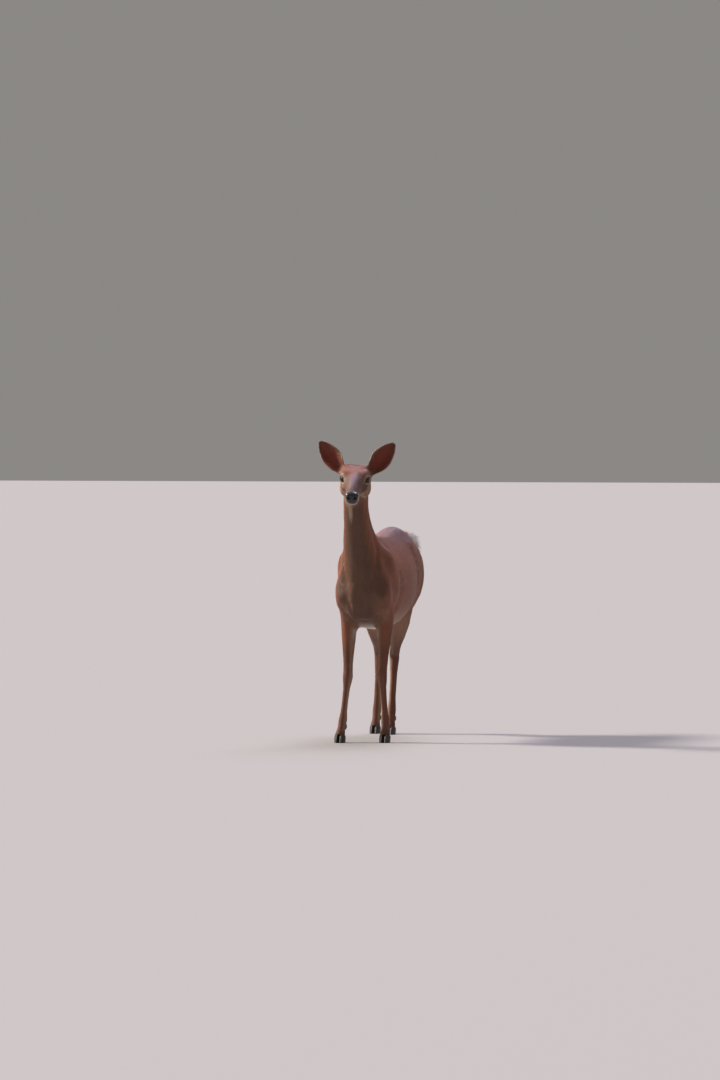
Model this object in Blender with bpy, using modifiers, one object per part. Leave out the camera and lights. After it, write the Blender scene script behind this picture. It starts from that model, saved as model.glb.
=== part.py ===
"""A white-tailed doe in its short summer coat, life size, standing still with its head up.

Row frame: +Z up with the floor at z = 0, the doe faces -Y, and its left side is +X. Sizes are in metres.

The flesh is lofted from a few named sections, given its muscles, made one skin by a voxel remesh, and then
parted with thin cuts into head, neck, trunk, tail, ears and legs. Eyes, claws and dewclaws are pieces of
their own, set into it.
"""

import math
from collections import namedtuple

import bmesh
import bpy
import numpy as np
from mathutils import Euler, Matrix, Vector

# Driving sizes
GAP = 0.0004  # the thin cut between two named parts
EYE_RADIUS = 0.0175
EYE_SPREAD = 0.0445  # eye centre from the middle of the face
EYE_LOOK = math.radians(30)  # how far forward of sideways the eyes look
EYE_MIDDLE = Vector((0.0020, -0.562, 1.114))  # between the two eyes
HEAD_TURN = Euler((math.radians(20.5), math.radians(2.5), math.radians(6.7)), "XYZ")
EAR_LENGTH = 0.164
HOOF_LENGTH = 0.060
HOOF_WIDTH = 0.0215
CORONET_HEIGHT = 0.034  # top of the claws in front
CORONET_FALL = 0.24  # how steeply the top of a claw falls towards the heel
CLEFT = 0.0018  # half of the gap between the two claws of a foot
LID_OPENING = Vector((0.0140, 0.0172, 0.0116))  # the eye's opening: depth, half length, half height
LID_SLANT = math.radians(12)  # how far the opening dips towards the nose
EAR_SWELL = 0.049  # half of the widest stretch round the ear's back
EAR_WALL = 0.0055

# How finely the flesh is made, and about how many triangles it keeps
BODY_VOXEL, BODY_FACES, BODY_ROUNDS = 0.005, 3640, 110
HEAD_VOXEL, HEAD_FACES, HEAD_ROUNDS = 0.0026, 2070, 55
SHARP = math.radians(40)  # edges sharper than this stay sharp to the eye

Section = namedtuple("Section", "x y z wide up down pinch")
Mass = namedtuple("Mass", "x y z wide long high tip turn", defaults=(0,))
Limb = namedtuple("Limb", "along wide fore aft")

# From rump to chest: centre, half width, reach above and below it, and how much the top narrows
TRUNK = (
    Section(0.006, 0.478, 0.766, 0.030, 0.038, 0.038, 0.0),
    Section(0.006, 0.464, 0.758, 0.060, 0.082, 0.056, 0.1),
    Section(0.007, 0.436, 0.742, 0.094, 0.134, 0.110, 0.15),
    Section(0.008, 0.385, 0.722, 0.117, 0.176, 0.148, 0.2),
    Section(0.007, 0.310, 0.702, 0.130, 0.201, 0.163, 0.22),
    Section(0.005, 0.220, 0.684, 0.135, 0.206, 0.170, 0.22),
    Section(0.002, 0.105, 0.662, 0.144, 0.212, 0.182, 0.2),
    Section(0, 0.000, 0.654, 0.147, 0.215, 0.188, 0.22),
    Section(0, -0.110, 0.650, 0.138, 0.222, 0.182, 0.28),
    Section(0, -0.205, 0.665, 0.130, 0.208, 0.191, 0.30),
    Section(0, -0.300, 0.660, 0.121, 0.180, 0.179, 0.28),
    Section(0, -0.375, 0.638, 0.096, 0.128, 0.141, 0.3),
    Section(0, -0.425, 0.625, 0.064, 0.080, 0.092, 0.1),
    Section(0, -0.450, 0.620, 0.034, 0.045, 0.048, 0.0),
)

# From inside the chest up to the back of the skull: up is the nape, down the throat
NECK = (
    Section(0, -0.215, 0.650, 0.106, 0.170, 0.190, 0.3),
    Section(-0.001, -0.275, 0.728, 0.108, 0.135, 0.206, 0.3),
    Section(-0.005, -0.336, 0.800, 0.088, 0.102, 0.157, 0.25),
    Section(-0.012, -0.385, 0.868, 0.0685, 0.084, 0.107, 0.2),
    Section(-0.015, -0.420, 0.935, 0.0570, 0.073, 0.077, 0.2),
    Section(-0.015, -0.444, 1.000, 0.0525, 0.065, 0.065, 0.15),
    Section(-0.012, -0.459, 1.055, 0.0530, 0.059, 0.060, 0.1),
    Section(-0.007, -0.473, 1.095, 0.0490, 0.046, 0.055, 0.1),
    Section(-0.003, -0.484, 1.125, 0.0380, 0.030, 0.038, 0.0),
)

# Along the head from the nape to the nose tip, level, with the eyes at y = 0
SKULL = (
    Section(0, 0.122, -0.012, 0.028, 0.020, 0.030, 0.0),
    Section(0, 0.104, -0.012, 0.049, 0.036, 0.050, 0.1),
    Section(0, 0.075, -0.012, 0.063, 0.046, 0.068, 0.1),
    Section(0, 0.040, -0.014, 0.067, 0.050, 0.073, 0.15),
    Section(0, 0.010, -0.014, 0.059, 0.050, 0.068, 0.2),
    Section(0, -0.020, -0.014, 0.0465, 0.047, 0.060, 0.2),
    Section(0, -0.050, -0.016, 0.0385, 0.044, 0.051, 0.2),
    Section(0, -0.085, -0.022, 0.0310, 0.042, 0.042, 0.25),
    Section(0, -0.118, -0.027, 0.0290, 0.036, 0.034, 0.2),
    Section(0, -0.142, -0.028, 0.0290, 0.030, 0.029, 0.15),
    Section(0, -0.156, -0.027, 0.0250, 0.025, 0.022, 0.1),
    Section(0, -0.163, -0.026, 0.0120, 0.014, 0.012, 0.0),
)

# From the croup backwards: up is the underside here, because the path runs towards +Y
TAIL = (
    Section(0.006, 0.385, 0.818, 0.042, 0.034, 0.034, 0.0),
    Section(0.006, 0.430, 0.829, 0.045, 0.034, 0.029, 0.0),
    Section(0.007, 0.474, 0.841, 0.048, 0.029, 0.024, 0.0),
    Section(0.009, 0.516, 0.849, 0.056, 0.025, 0.020, 0.0),
    Section(0.012, 0.562, 0.842, 0.066, 0.023, 0.020, 0.0),
    Section(0.016, 0.604, 0.806, 0.062, 0.021, 0.019, 0.0),
    Section(0.019, 0.632, 0.755, 0.044, 0.017, 0.015, 0.0),
    Section(0.021, 0.644, 0.705, 0.014, 0.008, 0.008, 0.0),
)

# Down each leg: 0 is the shoulder or hip, 1 the elbow or stifle, 2 the knee or hock, 3 the fetlock, 4 the foot
FORELEG = (
    Limb(0.0, 0.046, 0.055, 0.060),
    Limb(0.5, 0.044, 0.056, 0.078),
    Limb(0.95, 0.0385, 0.050, 0.066),
    Limb(1.2, 0.0345, 0.043, 0.054),
    Limb(1.45, 0.0285, 0.034, 0.040),
    Limb(1.7, 0.0220, 0.0245, 0.0265),
    Limb(1.88, 0.0208, 0.0215, 0.0225),
    Limb(2.0, 0.0222, 0.0240, 0.0222),
    Limb(2.14, 0.0190, 0.0195, 0.0205),
    Limb(2.3, 0.0150, 0.0160, 0.0185),
    Limb(2.6, 0.0138, 0.0148, 0.0170),
    Limb(2.84, 0.0148, 0.0155, 0.0180),
    Limb(3.0, 0.0185, 0.0185, 0.0225),
    Limb(3.4, 0.0170, 0.0165, 0.0195),
    Limb(3.75, 0.0190, 0.0190, 0.0200),
    Limb(4.0, 0.0220, 0.0240, 0.0250),
    Limb(4.3, 0.0225, 0.0240, 0.0250),
)
HINDLEG = (
    Limb(0.2, 0.058, 0.090, 0.090),
    Limb(0.6, 0.056, 0.098, 0.118),
    Limb(0.9, 0.048, 0.082, 0.124),
    Limb(1.1, 0.0490, 0.060, 0.118),
    Limb(1.35, 0.0480, 0.047, 0.090),
    Limb(1.6, 0.0370, 0.036, 0.058),
    Limb(1.82, 0.0240, 0.0270, 0.0350),
    Limb(2.0, 0.0225, 0.0250, 0.0290),
    Limb(2.15, 0.0200, 0.0215, 0.0270),
    Limb(2.35, 0.0160, 0.0180, 0.0205),
    Limb(2.6, 0.0148, 0.0165, 0.0175),
    Limb(2.84, 0.0158, 0.0170, 0.0185),
    Limb(3.0, 0.0190, 0.0190, 0.0230),
    Limb(3.4, 0.0170, 0.0170, 0.0195),
    Limb(3.75, 0.0190, 0.0190, 0.0200),
    Limb(4.0, 0.0220, 0.0240, 0.0250),
    Limb(4.3, 0.0225, 0.0240, 0.0250),
)

# Joints of each leg from the top down, where the doe has set its feet; the last is inside the foot
FORE_JOINTS = {
    "left": ((0.072, -0.390, 0.655), (0.079, -0.268, 0.535), (0.070, -0.302, 0.278), (0.083, -0.298, 0.098),
             (0.086, -0.320, 0.030), (0.086, -0.326, 0.012)),
    "right": ((-0.072, -0.390, 0.655), (-0.076, -0.272, 0.535), (-0.073, -0.318, 0.278), (-0.092, -0.330, 0.098),
              (-0.100, -0.354, 0.030), (-0.100, -0.360, 0.012)),
}
HIND_JOINTS = {
    "left": ((0.076, 0.350, 0.730), (0.056, 0.232, 0.560), (-0.001, 0.392, 0.345), (-0.006, 0.348, 0.100),
             (-0.007, 0.324, 0.030), (-0.007, 0.318, 0.012)),
    "right": ((-0.068, 0.350, 0.730), (-0.072, 0.250, 0.560), (-0.075, 0.436, 0.345), (-0.082, 0.412, 0.100),
              (-0.085, 0.388, 0.030), (-0.085, 0.382, 0.012)),
}

# Muscles and bones that show under the skin, for the left side; tip leans each one forward, in degrees
BODY_MASSES = (
    Mass(0.076, -0.256, 0.718, 0.054, 0.078, 0.112, 34),  # shoulder blade
    Mass(0.074, -0.288, 0.612, 0.044, 0.082, 0.090, 20),  # triceps
    Mass(0.066, -0.358, 0.655, 0.048, 0.055, 0.085, 0),  # point of the shoulder
    Mass(0.022, -0.385, 0.590, 0.050, 0.050, 0.080, 10),  # breast
    Mass(0.046, -0.372, 0.720, 0.048, 0.056, 0.095, 16),  # strap from the neck to the shoulder
    Mass(0.072, 0.325, 0.690, 0.066, 0.125, 0.140, -12),  # haunch
    Mass(0.048, 0.398, 0.596, 0.036, 0.054, 0.150, -19),  # back of the thigh
    Mass(0.060, 0.240, 0.590, 0.042, 0.062, 0.085, -20),  # stifle
    Mass(0.068, 0.225, 0.810, 0.046, 0.062, 0.036, 0),  # point of the hip
)
HEAD_MASSES = (
    Mass(0.0440, 0.001, 0.000, 0.0208, 0.0270, 0.0215, 0, 30),  # lids
    Mass(0.0370, 0.016, 0.012, 0.0240, 0.034, 0.0220, 10, 24),  # brow
    Mass(0.0440, 0.034, 0.004, 0.0210, 0.034, 0.0240, 0, 8),  # temple
    Mass(0.0410, 0.046, -0.056, 0.0265, 0.048, 0.0390, 10),  # cheek
    Mass(0.0400, -0.002, -0.030, 0.0190, 0.052, 0.0200, 0),  # cheek bone
    Mass(0.0145, -0.146, -0.018, 0.0145, 0.016, 0.0160, 0),  # nostril
    Mass(0.0130, -0.132, -0.044, 0.0140, 0.022, 0.0120, 0),  # upper lip
    Mass(0.0075, -0.118, -0.056, 0.0140, 0.024, 0.0090, 0),  # chin
    Mass(0.0240, 0.066, 0.008, 0.0360, 0.048, 0.0300, 0),  # crown
    Mass(0.0490, 0.078, -0.002, 0.0200, 0.026, 0.0260, 0),  # root of the ear
)

# Each ear: side, its root on the level head, then how far it leans out and back and its hollow turns, in degrees
EARS = {
    "left": (1, Vector((0.054, 0.080, -0.002)), 40, 8, 8),
    "right": (-1, Vector((0.054, 0.080, 0.000)), 39, 8, 12),
}

# Cuts between the named parts: a point of each flat cut, and the way it faces
NAPE_CUT = (Vector((0, -0.455, 1.062)), Vector((0, -0.707, 0.707)))  # head from neck
WITHERS_CUT = (Vector((0, -0.325, 0.768)), Vector((0, -0.652, 0.758)))  # neck from trunk
ELBOW_ZONE = ((0.012, 0.0), (0.25, 0.0), (0.25, 0.72), (0.16, 0.605), (0.034, 0.472), (0.012, 0.460))
ELBOW_REACH = (-0.46, -0.175)
THIGH_ZONE = ((0.25, 0.0), (0.25, 0.86), (0.165, 0.745), (0.02, 0.540), (0.0, 0.515))
BETWEEN_HIND_LEGS = ((-0.018, 0.45), (-0.037, 0.345), (-0.044, 0.0))  # down the middle, on the doe's right
STIFLE_REACH = (0.170, 0.60)
TAIL_ZONE = ((0.452, 1.0), (0.452, 0.90), (0.478, 0.80), (0.530, 0.79), (0.530, 0.60), (0.80, 0.60), (0.80, 1.0))
EAR_ZONE = ((-0.036, 0.028), (0.090, 0.028), (0.110, 0.240), (-0.110, 0.240), (-0.080, 0.080))

COAT = ("coat", (0.34, 0.135, 0.066, 1), 0.85)
COAT_TAIL = ("tail hair", (0.42, 0.25, 0.16, 1), 0.85)
EYE = ("eye", (0.012, 0.008, 0.006, 1), 0.08)
HORN = ("claw horn", (0.035, 0.028, 0.024, 1), 0.42)


def spline(rows, steps):
    """Rows of numbers on a smooth curve through these, with this many for each gap between two of them."""
    rows = np.array(rows, float)
    ends = np.vstack([2 * rows[0] - rows[1], rows, 2 * rows[-1] - rows[-2]])
    found = []
    for a, b, c, d in zip(ends, ends[1:], ends[2:], ends[3:]):
        for t in np.arange(steps) / steps:
            bend = (2 * a - 5 * b + 4 * c - d) * t**2 + (3 * b - a - 3 * c + d) * t**3
            found.append(b + ((c - a) * t + bend) / 2)
    return np.vstack([found, rows[-1]])


def loft(bm, sections, segments=28, steps=4, place=None):
    """Adds one closed body to bm: oval rings along the sections, bridged, with its ends filled."""
    rows = spline(sections, steps)
    tangents = np.gradient(rows[:, :3], axis=0)
    place = place or Matrix.Identity(4)
    rings, verts = [], []
    for row, tangent in zip(rows, tangents):
        centre, (wide, up, down, pinch) = Vector(row[:3]), row[3:]
        forward = Vector(tangent).normalized()
        across = (Vector((1, 0, 0)) - forward * forward.x).normalized()
        above = forward.cross(across)
        ring = bmesh.ops.create_circle(bm, segments=segments, radius=1)["verts"]
        for vert in ring:
            side, rise = vert.co.x, vert.co.y
            narrow = 1 - pinch * max(rise, 0) ** 2
            reach = up if rise > 0 else down
            vert.co = place @ (centre + across * wide * narrow * side + above * reach * rise)
        rings.append({edge for vert in ring for edge in vert.link_edges})
        verts += ring
    for near, far in zip(rings, rings[1:]):
        bmesh.ops.bridge_loops(bm, edges=list(near | far))
    for end in (rings[0], rings[-1]):
        bmesh.ops.contextual_create(bm, geom=list(end))
    faces = {face for vert in verts for face in vert.link_faces}
    bmesh.ops.recalc_face_normals(bm, faces=list(faces))


def limb(joints, rows):
    """Sections down a leg, from its joints and its sizes at shares of the way between them."""
    joints = np.array(joints, float)
    places = [[np.interp(row.along, range(len(joints)), joints[:, k]) for k in range(3)] for row in rows]
    return [Section(*p, row.wide, row.fore, row.aft, 0.0) for p, row in zip(places, rows)]


def add_masses(bm, masses, place=None):
    """Adds each mass as an egg on the left side and its mirror image on the right."""
    for mass in masses:
        for side in (1, -1):
            turn = Matrix.Rotation(math.radians(mass.tip), 4, "X")
            turn = Matrix.Rotation(math.radians(-side * mass.turn), 4, "Z") @ turn
            size = Matrix.Diagonal((mass.wide, mass.long, mass.high, 1))
            at = Matrix.Translation((side * mass.x, mass.y, mass.z)) @ turn @ size
            bmesh.ops.create_uvsphere(
                bm, u_segments=24, v_segments=16, radius=1, matrix=(place or Matrix.Identity(4)) @ at
            )


def head_place():
    """Where the level head goes: the middle of the eyes, with its dip, tilt and turn."""
    return Matrix.Translation(EYE_MIDDLE) @ HEAD_TURN.to_matrix().to_4x4()


def ear_place(side, root, lean, back, turn):
    """Where an upright ear with its hollow towards -Y goes."""
    tilt = Euler((math.radians(-back), math.radians(side * lean), 0), "XYZ").to_matrix().to_4x4()
    spin = Matrix.Rotation(math.radians(side * turn), 4, "Z")
    at = EYE_MIDDLE + (HEAD_TURN.to_matrix() @ Vector((side * root.x, root.y, root.z)))
    heading = Matrix.Rotation(HEAD_TURN.z, 4, "Z")
    return Matrix.Translation(at) @ heading @ tilt @ spin


def ear_point(along, across):
    """A point of the ear's middle surface: along 0 to 1 from root to tip, across -1 to 1 round its back."""
    swell = math.sin(math.pi * (0.20 + 0.80 * along) ** 1.05) ** 0.72
    half = EAR_SWELL * swell
    wrap = math.radians(142 - 92 * min(1.0, along / 0.45) ** 0.8)
    radius = half / wrap
    bow = 0.012 * math.sin(math.pi * along)
    return Vector(
        (
            radius * math.sin(across * wrap),
            -radius * (1 - math.cos(across * wrap)) + bow,
            EAR_LENGTH * along,
        )
    )


def add_ear(bm, name):
    """Adds one ear: a leaf-shaped sheet rolled into a cup, with walls of even thickness."""
    sheet = bmesh.new()
    bmesh.ops.create_grid(sheet, x_segments=16, y_segments=24, size=1)
    for vert in sheet.verts:
        vert.co = ear_point((vert.co.y + 1) / 2 * 0.99, vert.co.x)
    bmesh.ops.recalc_face_normals(sheet, faces=sheet.faces)
    bmesh.ops.solidify(sheet, geom=sheet.faces, thickness=EAR_WALL)
    bmesh.ops.transform(sheet, matrix=ear_place(*EARS[name]), verts=sheet.verts)
    mesh = bpy.data.meshes.new("ear")
    sheet.to_mesh(mesh)
    sheet.free()
    bm.from_mesh(mesh)
    bpy.data.meshes.remove(mesh)


def add_hock(bm, joints):
    """Adds the heel bone behind the hock and the tendon that runs down to it."""
    hock = Vector(joints[2])
    shin = (Vector(joints[1]) - hock).normalized()
    heel = hock + Vector((0, 0.030, 0.040))
    top = hock + shin * 0.15 + Vector((0, 0.020, 0))
    foot = hock + Vector((0, 0.016, -0.040))
    loft(
        bm,
        (
            Section(*top, 0.0120, 0.014, 0.014, 0.0),
            Section(*(top * 0.4 + heel * 0.6), 0.0080, 0.010, 0.010, 0.0),
            Section(*heel, 0.0125, 0.013, 0.012, 0.0),
            Section(*(heel * 0.5 + foot * 0.5), 0.0120, 0.014, 0.011, 0.0),
            Section(*foot, 0.0120, 0.013, 0.011, 0.0),
        ),
        segments=16,
    )


def mesh_object(name, bm):
    """Makes a bmesh an object in the scene and frees it."""
    mesh = bpy.data.meshes.new(name)
    bm.to_mesh(mesh)
    bm.free()
    made = bpy.data.objects.new(name, mesh)
    bpy.context.scene.collection.objects.link(made)
    return made


def baked(made):
    """Applies an object's modifiers."""
    bpy.context.view_layer.update()
    graph = bpy.context.evaluated_depsgraph_get()
    mesh = bpy.data.meshes.new_from_object(made.evaluated_get(graph))
    made.modifiers.clear()
    old, made.data = made.data, mesh
    bpy.data.meshes.remove(old)
    return made


def relax(made, rounds, soften):
    """Smooths a mesh: each round, hollows fill and ridges sink by the two shares that soften(points) gives."""
    mesh = made.data
    count = len(mesh.vertices)
    points = np.empty(count * 3)
    mesh.vertices.foreach_get("co", points)
    points = points.reshape(-1, 3)
    ends = np.empty(len(mesh.edges) * 2, np.int64)
    mesh.edges.foreach_get("vertices", ends)
    a, b = ends.reshape(-1, 2).T
    valence = np.bincount(np.concatenate([a, b]), minlength=count)[:, None]
    fill, sink = (np.broadcast_to(share, count)[:, None] for share in soften(points))
    normals = np.empty(count * 3)
    for _ in range(rounds):
        mesh.vertices.foreach_set("co", points.ravel())
        mesh.update()
        mesh.vertex_normals.foreach_get("vector", normals)
        total = np.column_stack(
            [
                np.bincount(a, points[b, k], count) + np.bincount(b, points[a, k], count)
                for k in range(3)
            ]
        )
        pull = total / valence - points
        hollow = (pull * normals.reshape(-1, 3)).sum(axis=1)[:, None] > 0
        points += pull * np.where(hollow, fill, sink)
    mesh.vertices.foreach_set("co", points.ravel())
    mesh.update()


def remeshed(name, bm, voxel, faces, rounds, soften):
    """Makes the bodies in bm one closed skin with softened joins, and thins it to about this many triangles."""
    made = mesh_object(name, bm)
    remesh = made.modifiers.new("Remesh", "REMESH")
    remesh.mode = "VOXEL"
    remesh.voxel_size = voxel
    baked(made)
    relax(made, rounds, soften)
    thin = made.modifiers.new("Decimate", "DECIMATE")
    thin.ratio = faces / (2 * len(made.data.polygons))
    thin.use_collapse_triangulate = True
    return baked(made)


def body_flesh():
    """Trunk, neck, legs and tail as one skin."""
    bm = bmesh.new()
    loft(bm, TRUNK, segments=40)
    loft(bm, NECK, segments=32)
    loft(bm, TAIL)
    for joints in FORE_JOINTS.values():
        loft(bm, limb(joints, FORELEG))
    for joints in HIND_JOINTS.values():
        loft(bm, limb(joints, HINDLEG))
        add_hock(bm, joints)
    add_masses(bm, BODY_MASSES)

    def soften(points):
        """The trunk softens, and the legs and tail keep their thickness."""
        sink = np.interp(points[:, 2], (0.42, 0.58, 0.80, 0.90), (0.02, 0.30, 0.25, 0.05))
        return 0.5, sink * np.interp(points[:, 1], (0.28, 0.42), (1.0, 0.15))

    return remeshed("body_flesh", bm, BODY_VOXEL, BODY_FACES, BODY_ROUNDS, soften)


def head_flesh():
    """Head, ears and upper neck as one skin."""
    bm = bmesh.new()
    place = head_place()
    loft(bm, SKULL, place=place)
    loft(bm, NECK[2:])
    add_masses(bm, HEAD_MASSES, place)
    for name in EARS:
        add_ear(bm, name)

    def soften(points):
        """The head softens, and the ears keep their walls."""
        high = np.interp(points[:, 2], (1.165, 1.190), (0, 1))
        back = np.interp(points[:, 1], (-0.65, -0.60, -0.49, -0.46), (0.15, 1, 1, 0.2))
        return 0.45 - 0.42 * high, (0.30 - 0.29 * high) * back

    return remeshed("head_flesh", bm, HEAD_VOXEL, HEAD_FACES, HEAD_ROUNDS, soften)


def prism(outline, plane, low, high, side=1):
    """A closed body from an outline in the XZ or YZ plane, pushed along the third axis; side -1 mirrors it."""
    bm = bmesh.new()
    rings = []
    for third in (low, high):
        corners = [(side * a, third, b) if plane == "XZ" else (third, a, b) for a, b in outline]
        rings.append([bm.verts.new(corner) for corner in corners])
    for ring in rings:
        bm.faces.new(ring)
    for i in range(len(outline)):
        j = (i + 1) % len(outline)
        bm.faces.new((rings[0][i], rings[0][j], rings[1][j], rings[1][i]))
    bmesh.ops.recalc_face_normals(bm, faces=bm.faces)
    return bm


def beyond(cut, shift=0.0, reach=1.8):
    """A block on the far side of a flat cut, moved this much further off."""
    point, normal = cut
    turn = normal.to_track_quat("Z", "Y").to_matrix().to_4x4()
    middle = Matrix.Translation(point + normal * (shift + reach / 2))
    bm = bmesh.new()
    bmesh.ops.create_cube(bm, size=reach, matrix=middle @ turn)
    return bm


def before(cut, shift=0.0):
    """A block on the near side of a flat cut."""
    point, normal = cut
    return beyond((point, -normal), shift)


def grown(bm, gap=GAP):
    """A copy of a closed body with every face moved out by the gap."""
    copy = bm.copy()
    bmesh.ops.recalc_face_normals(copy, faces=copy.faces)
    copy.normal_update()
    moves = [(vert, vert.normal * vert.calc_shell_factor() * gap) for vert in copy.verts]
    for vert, move in moves:
        vert.co += move
    return copy


def combine(name, base, tools):
    """A copy of base after each (operation, bmesh) of tools, as a new object."""
    made = bpy.data.objects.new(name, base.data.copy())
    bpy.context.scene.collection.objects.link(made)
    cutters = []
    for operation, shape in tools:
        cutter = mesh_object("cutter", shape)
        cutters.append(cutter)
        boolean = made.modifiers.new("Boolean", "BOOLEAN")
        boolean.operation = operation
        boolean.solver = "EXACT"
        boolean.object = cutter
    baked(made)
    for cutter in cutters:
        bpy.data.objects.remove(cutter)
    bm = bmesh.new()
    bm.from_mesh(made.data)
    bmesh.ops.triangulate(bm, faces=bm.faces)
    bmesh.ops.dissolve_degenerate(bm, dist=0.00004, edges=bm.edges)
    bmesh.ops.triangulate(bm, faces=bm.faces)
    bm.to_mesh(made.data)
    bm.free()
    return made


def eye_centre(side):
    """The middle of one eyeball."""
    return head_place() @ Vector((side * EYE_SPREAD, 0.0, 0.0))


def eyeball(side, radius=EYE_RADIUS):
    """One eyeball, with its pole facing out."""
    bm = bmesh.new()
    turn = HEAD_TURN.to_matrix().to_4x4() @ Matrix.Rotation(math.radians(90), 4, "Y")
    bmesh.ops.create_uvsphere(
        bm, u_segments=16, v_segments=10, radius=radius, matrix=Matrix.Translation(eye_centre(side)) @ turn
    )
    return bm


def lid_opening(side):
    """What the lids leave open over one eye: an egg along the face, lower towards the nose."""
    bm = bmesh.new()
    look = Vector((side * math.cos(EYE_LOOK), -math.sin(EYE_LOOK), 0.04))
    middle = head_place() @ Matrix.Translation(Vector((side * EYE_SPREAD, 0, 0)) + look * 0.0145)
    turn = Matrix.Rotation(-side * EYE_LOOK, 4, "Z") @ Matrix.Rotation(LID_SLANT, 4, "X")
    size = Matrix.Diagonal((*LID_OPENING, 1))
    bmesh.ops.create_uvsphere(bm, u_segments=16, v_segments=8, radius=1, matrix=middle @ turn @ size)
    return bm


def coronet(foot):
    """The flat top of the two claws of a foot, falling towards the heel."""
    normal = Vector((0, CORONET_FALL, 1)).normalized()
    return Vector((foot[0], foot[1], CORONET_HEIGHT - 0.004)), normal


def claw(foot, side):
    """One claw: a wedge with a flat sole, a rounded outer wall, a straighter inner wall and a blunt toe."""
    rings = ((0.0, 1.0, 1.0, 0.0), (0.014, 0.98, 1.04, 0.003), (0.052, 0.70, 0.98, 0.016))
    bm = bmesh.new()
    loops = []
    for height, length, width, back in rings:
        ring = bmesh.ops.create_circle(bm, segments=14, radius=1)["verts"]
        for vert in ring:
            out, ahead = vert.co.x, -vert.co.y
            point = 1 - 0.70 * max(ahead, 0) ** 2.2
            spread = HOOF_WIDTH * width * point * (0.62 if out > 0 else 0.38) * out
            reach = HOOF_LENGTH * length * (0.56 if ahead > 0 else 0.44) * ahead
            x = foot[0] + side * (CLEFT + 0.38 * HOOF_WIDTH + spread)
            vert.co = Vector((x, foot[1] - 0.006 + back - reach, height))
        loops.append({edge for vert in ring for edge in vert.link_edges})
    for near, far in zip(loops, loops[1:]):
        bmesh.ops.bridge_loops(bm, edges=list(near | far))
    for end in (loops[0], loops[-1]):
        bmesh.ops.contextual_create(bm, geom=list(end))
    bmesh.ops.recalc_face_normals(bm, faces=bm.faces)
    return bm


def dewclaw(joints, side):
    """One dewclaw: a short blunt horn behind the pastern."""
    fetlock, foot = Vector(joints[3]), Vector(joints[4])
    at = fetlock * 0.58 + foot * 0.42 + Vector((side * 0.0125, 0.0185, -0.003))
    bm = bmesh.new()
    loops = []
    for along, wide in ((-0.012, 0.0052), (0.004, 0.0068), (0.016, 0.0030)):
        ring = bmesh.ops.create_circle(bm, segments=8, radius=wide)["verts"]
        for vert in ring:
            vert.co = Vector((vert.co.x, vert.co.y, -along))
        loops.append({edge for vert in ring for edge in vert.link_edges})
    for near, far in zip(loops, loops[1:]):
        bmesh.ops.bridge_loops(bm, edges=list(near | far))
    for end in (loops[0], loops[-1]):
        bmesh.ops.contextual_create(bm, geom=list(end))
    turn = Euler((math.radians(38), 0, math.radians(side * 14)), "XYZ").to_matrix().to_4x4()
    bmesh.ops.transform(bm, matrix=Matrix.Translation(at) @ turn, verts=bm.verts)
    bmesh.ops.recalc_face_normals(bm, faces=bm.faces)
    return bm


def leg_zone(name, side):
    """The room that one leg's piece takes."""
    if name.startswith("front"):
        return prism(ELBOW_ZONE, "XZ", *ELBOW_REACH, side)
    inner = tuple((side * x, z) for x, z in BETWEEN_HIND_LEGS)
    return prism(THIGH_ZONE + inner, "XZ", *STIFLE_REACH, side)


def build_leg(flesh, name, joints, side):
    """Yields one leg with its two claws and two dewclaws."""
    top = coronet(joints[4])
    tools = [("INTERSECT", leg_zone(name, side)), ("INTERSECT", beyond(top, GAP))]
    foot = name.replace("_leg", "")
    for place, way in (("outer", side), ("inner", -side)):
        horn = dewclaw(joints, way)
        tools.append(("DIFFERENCE", grown(horn)))
        yield mesh_object(f"dewclaw_{foot}_{place}", horn), HORN
        block = mesh_object("block", claw(joints[4], way))
        yield combine(f"claw_{foot}_{place}", block, [("INTERSECT", before(top))]), HORN
        bpy.data.objects.remove(block)
    yield combine(name, flesh, tools), COAT


def paint(made, finish):
    """Gives an object its own material and smooth shading."""
    name, color, roughness = finish
    material = bpy.data.materials.new(f"{made.name} {name}")
    material.use_nodes = True
    shader = material.node_tree.nodes["Principled BSDF"]
    shader.inputs["Base Color"].default_value = color
    shader.inputs["Roughness"].default_value = roughness
    made.data.materials.clear()
    made.data.materials.append(material)
    made.data.name = made.name
    made.data.shade_smooth()
    made.data.set_sharp_from_angle(angle=SHARP)


def build_head():
    """Yields the head, ears and eyes."""
    flesh = head_flesh()
    tools = [("INTERSECT", beyond(NAPE_CUT, GAP / 2))]
    for name, place in EARS.items():
        side = place[0]
        zone = prism(EAR_ZONE, "XZ", -0.08, 0.08, side)
        bmesh.ops.transform(zone, matrix=ear_place(*place), verts=zone.verts)
        tools.append(("DIFFERENCE", grown(zone)))
        yield combine(f"ear_{name}", flesh, [("INTERSECT", zone)]), COAT
        tools.append(("DIFFERENCE", eyeball(side, EYE_RADIUS + GAP)))
        tools.append(("DIFFERENCE", lid_opening(side)))
        yield mesh_object(f"eye_{name}", eyeball(side)), EYE
    yield combine("head", flesh, tools), COAT
    bpy.data.objects.remove(flesh)


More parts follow.
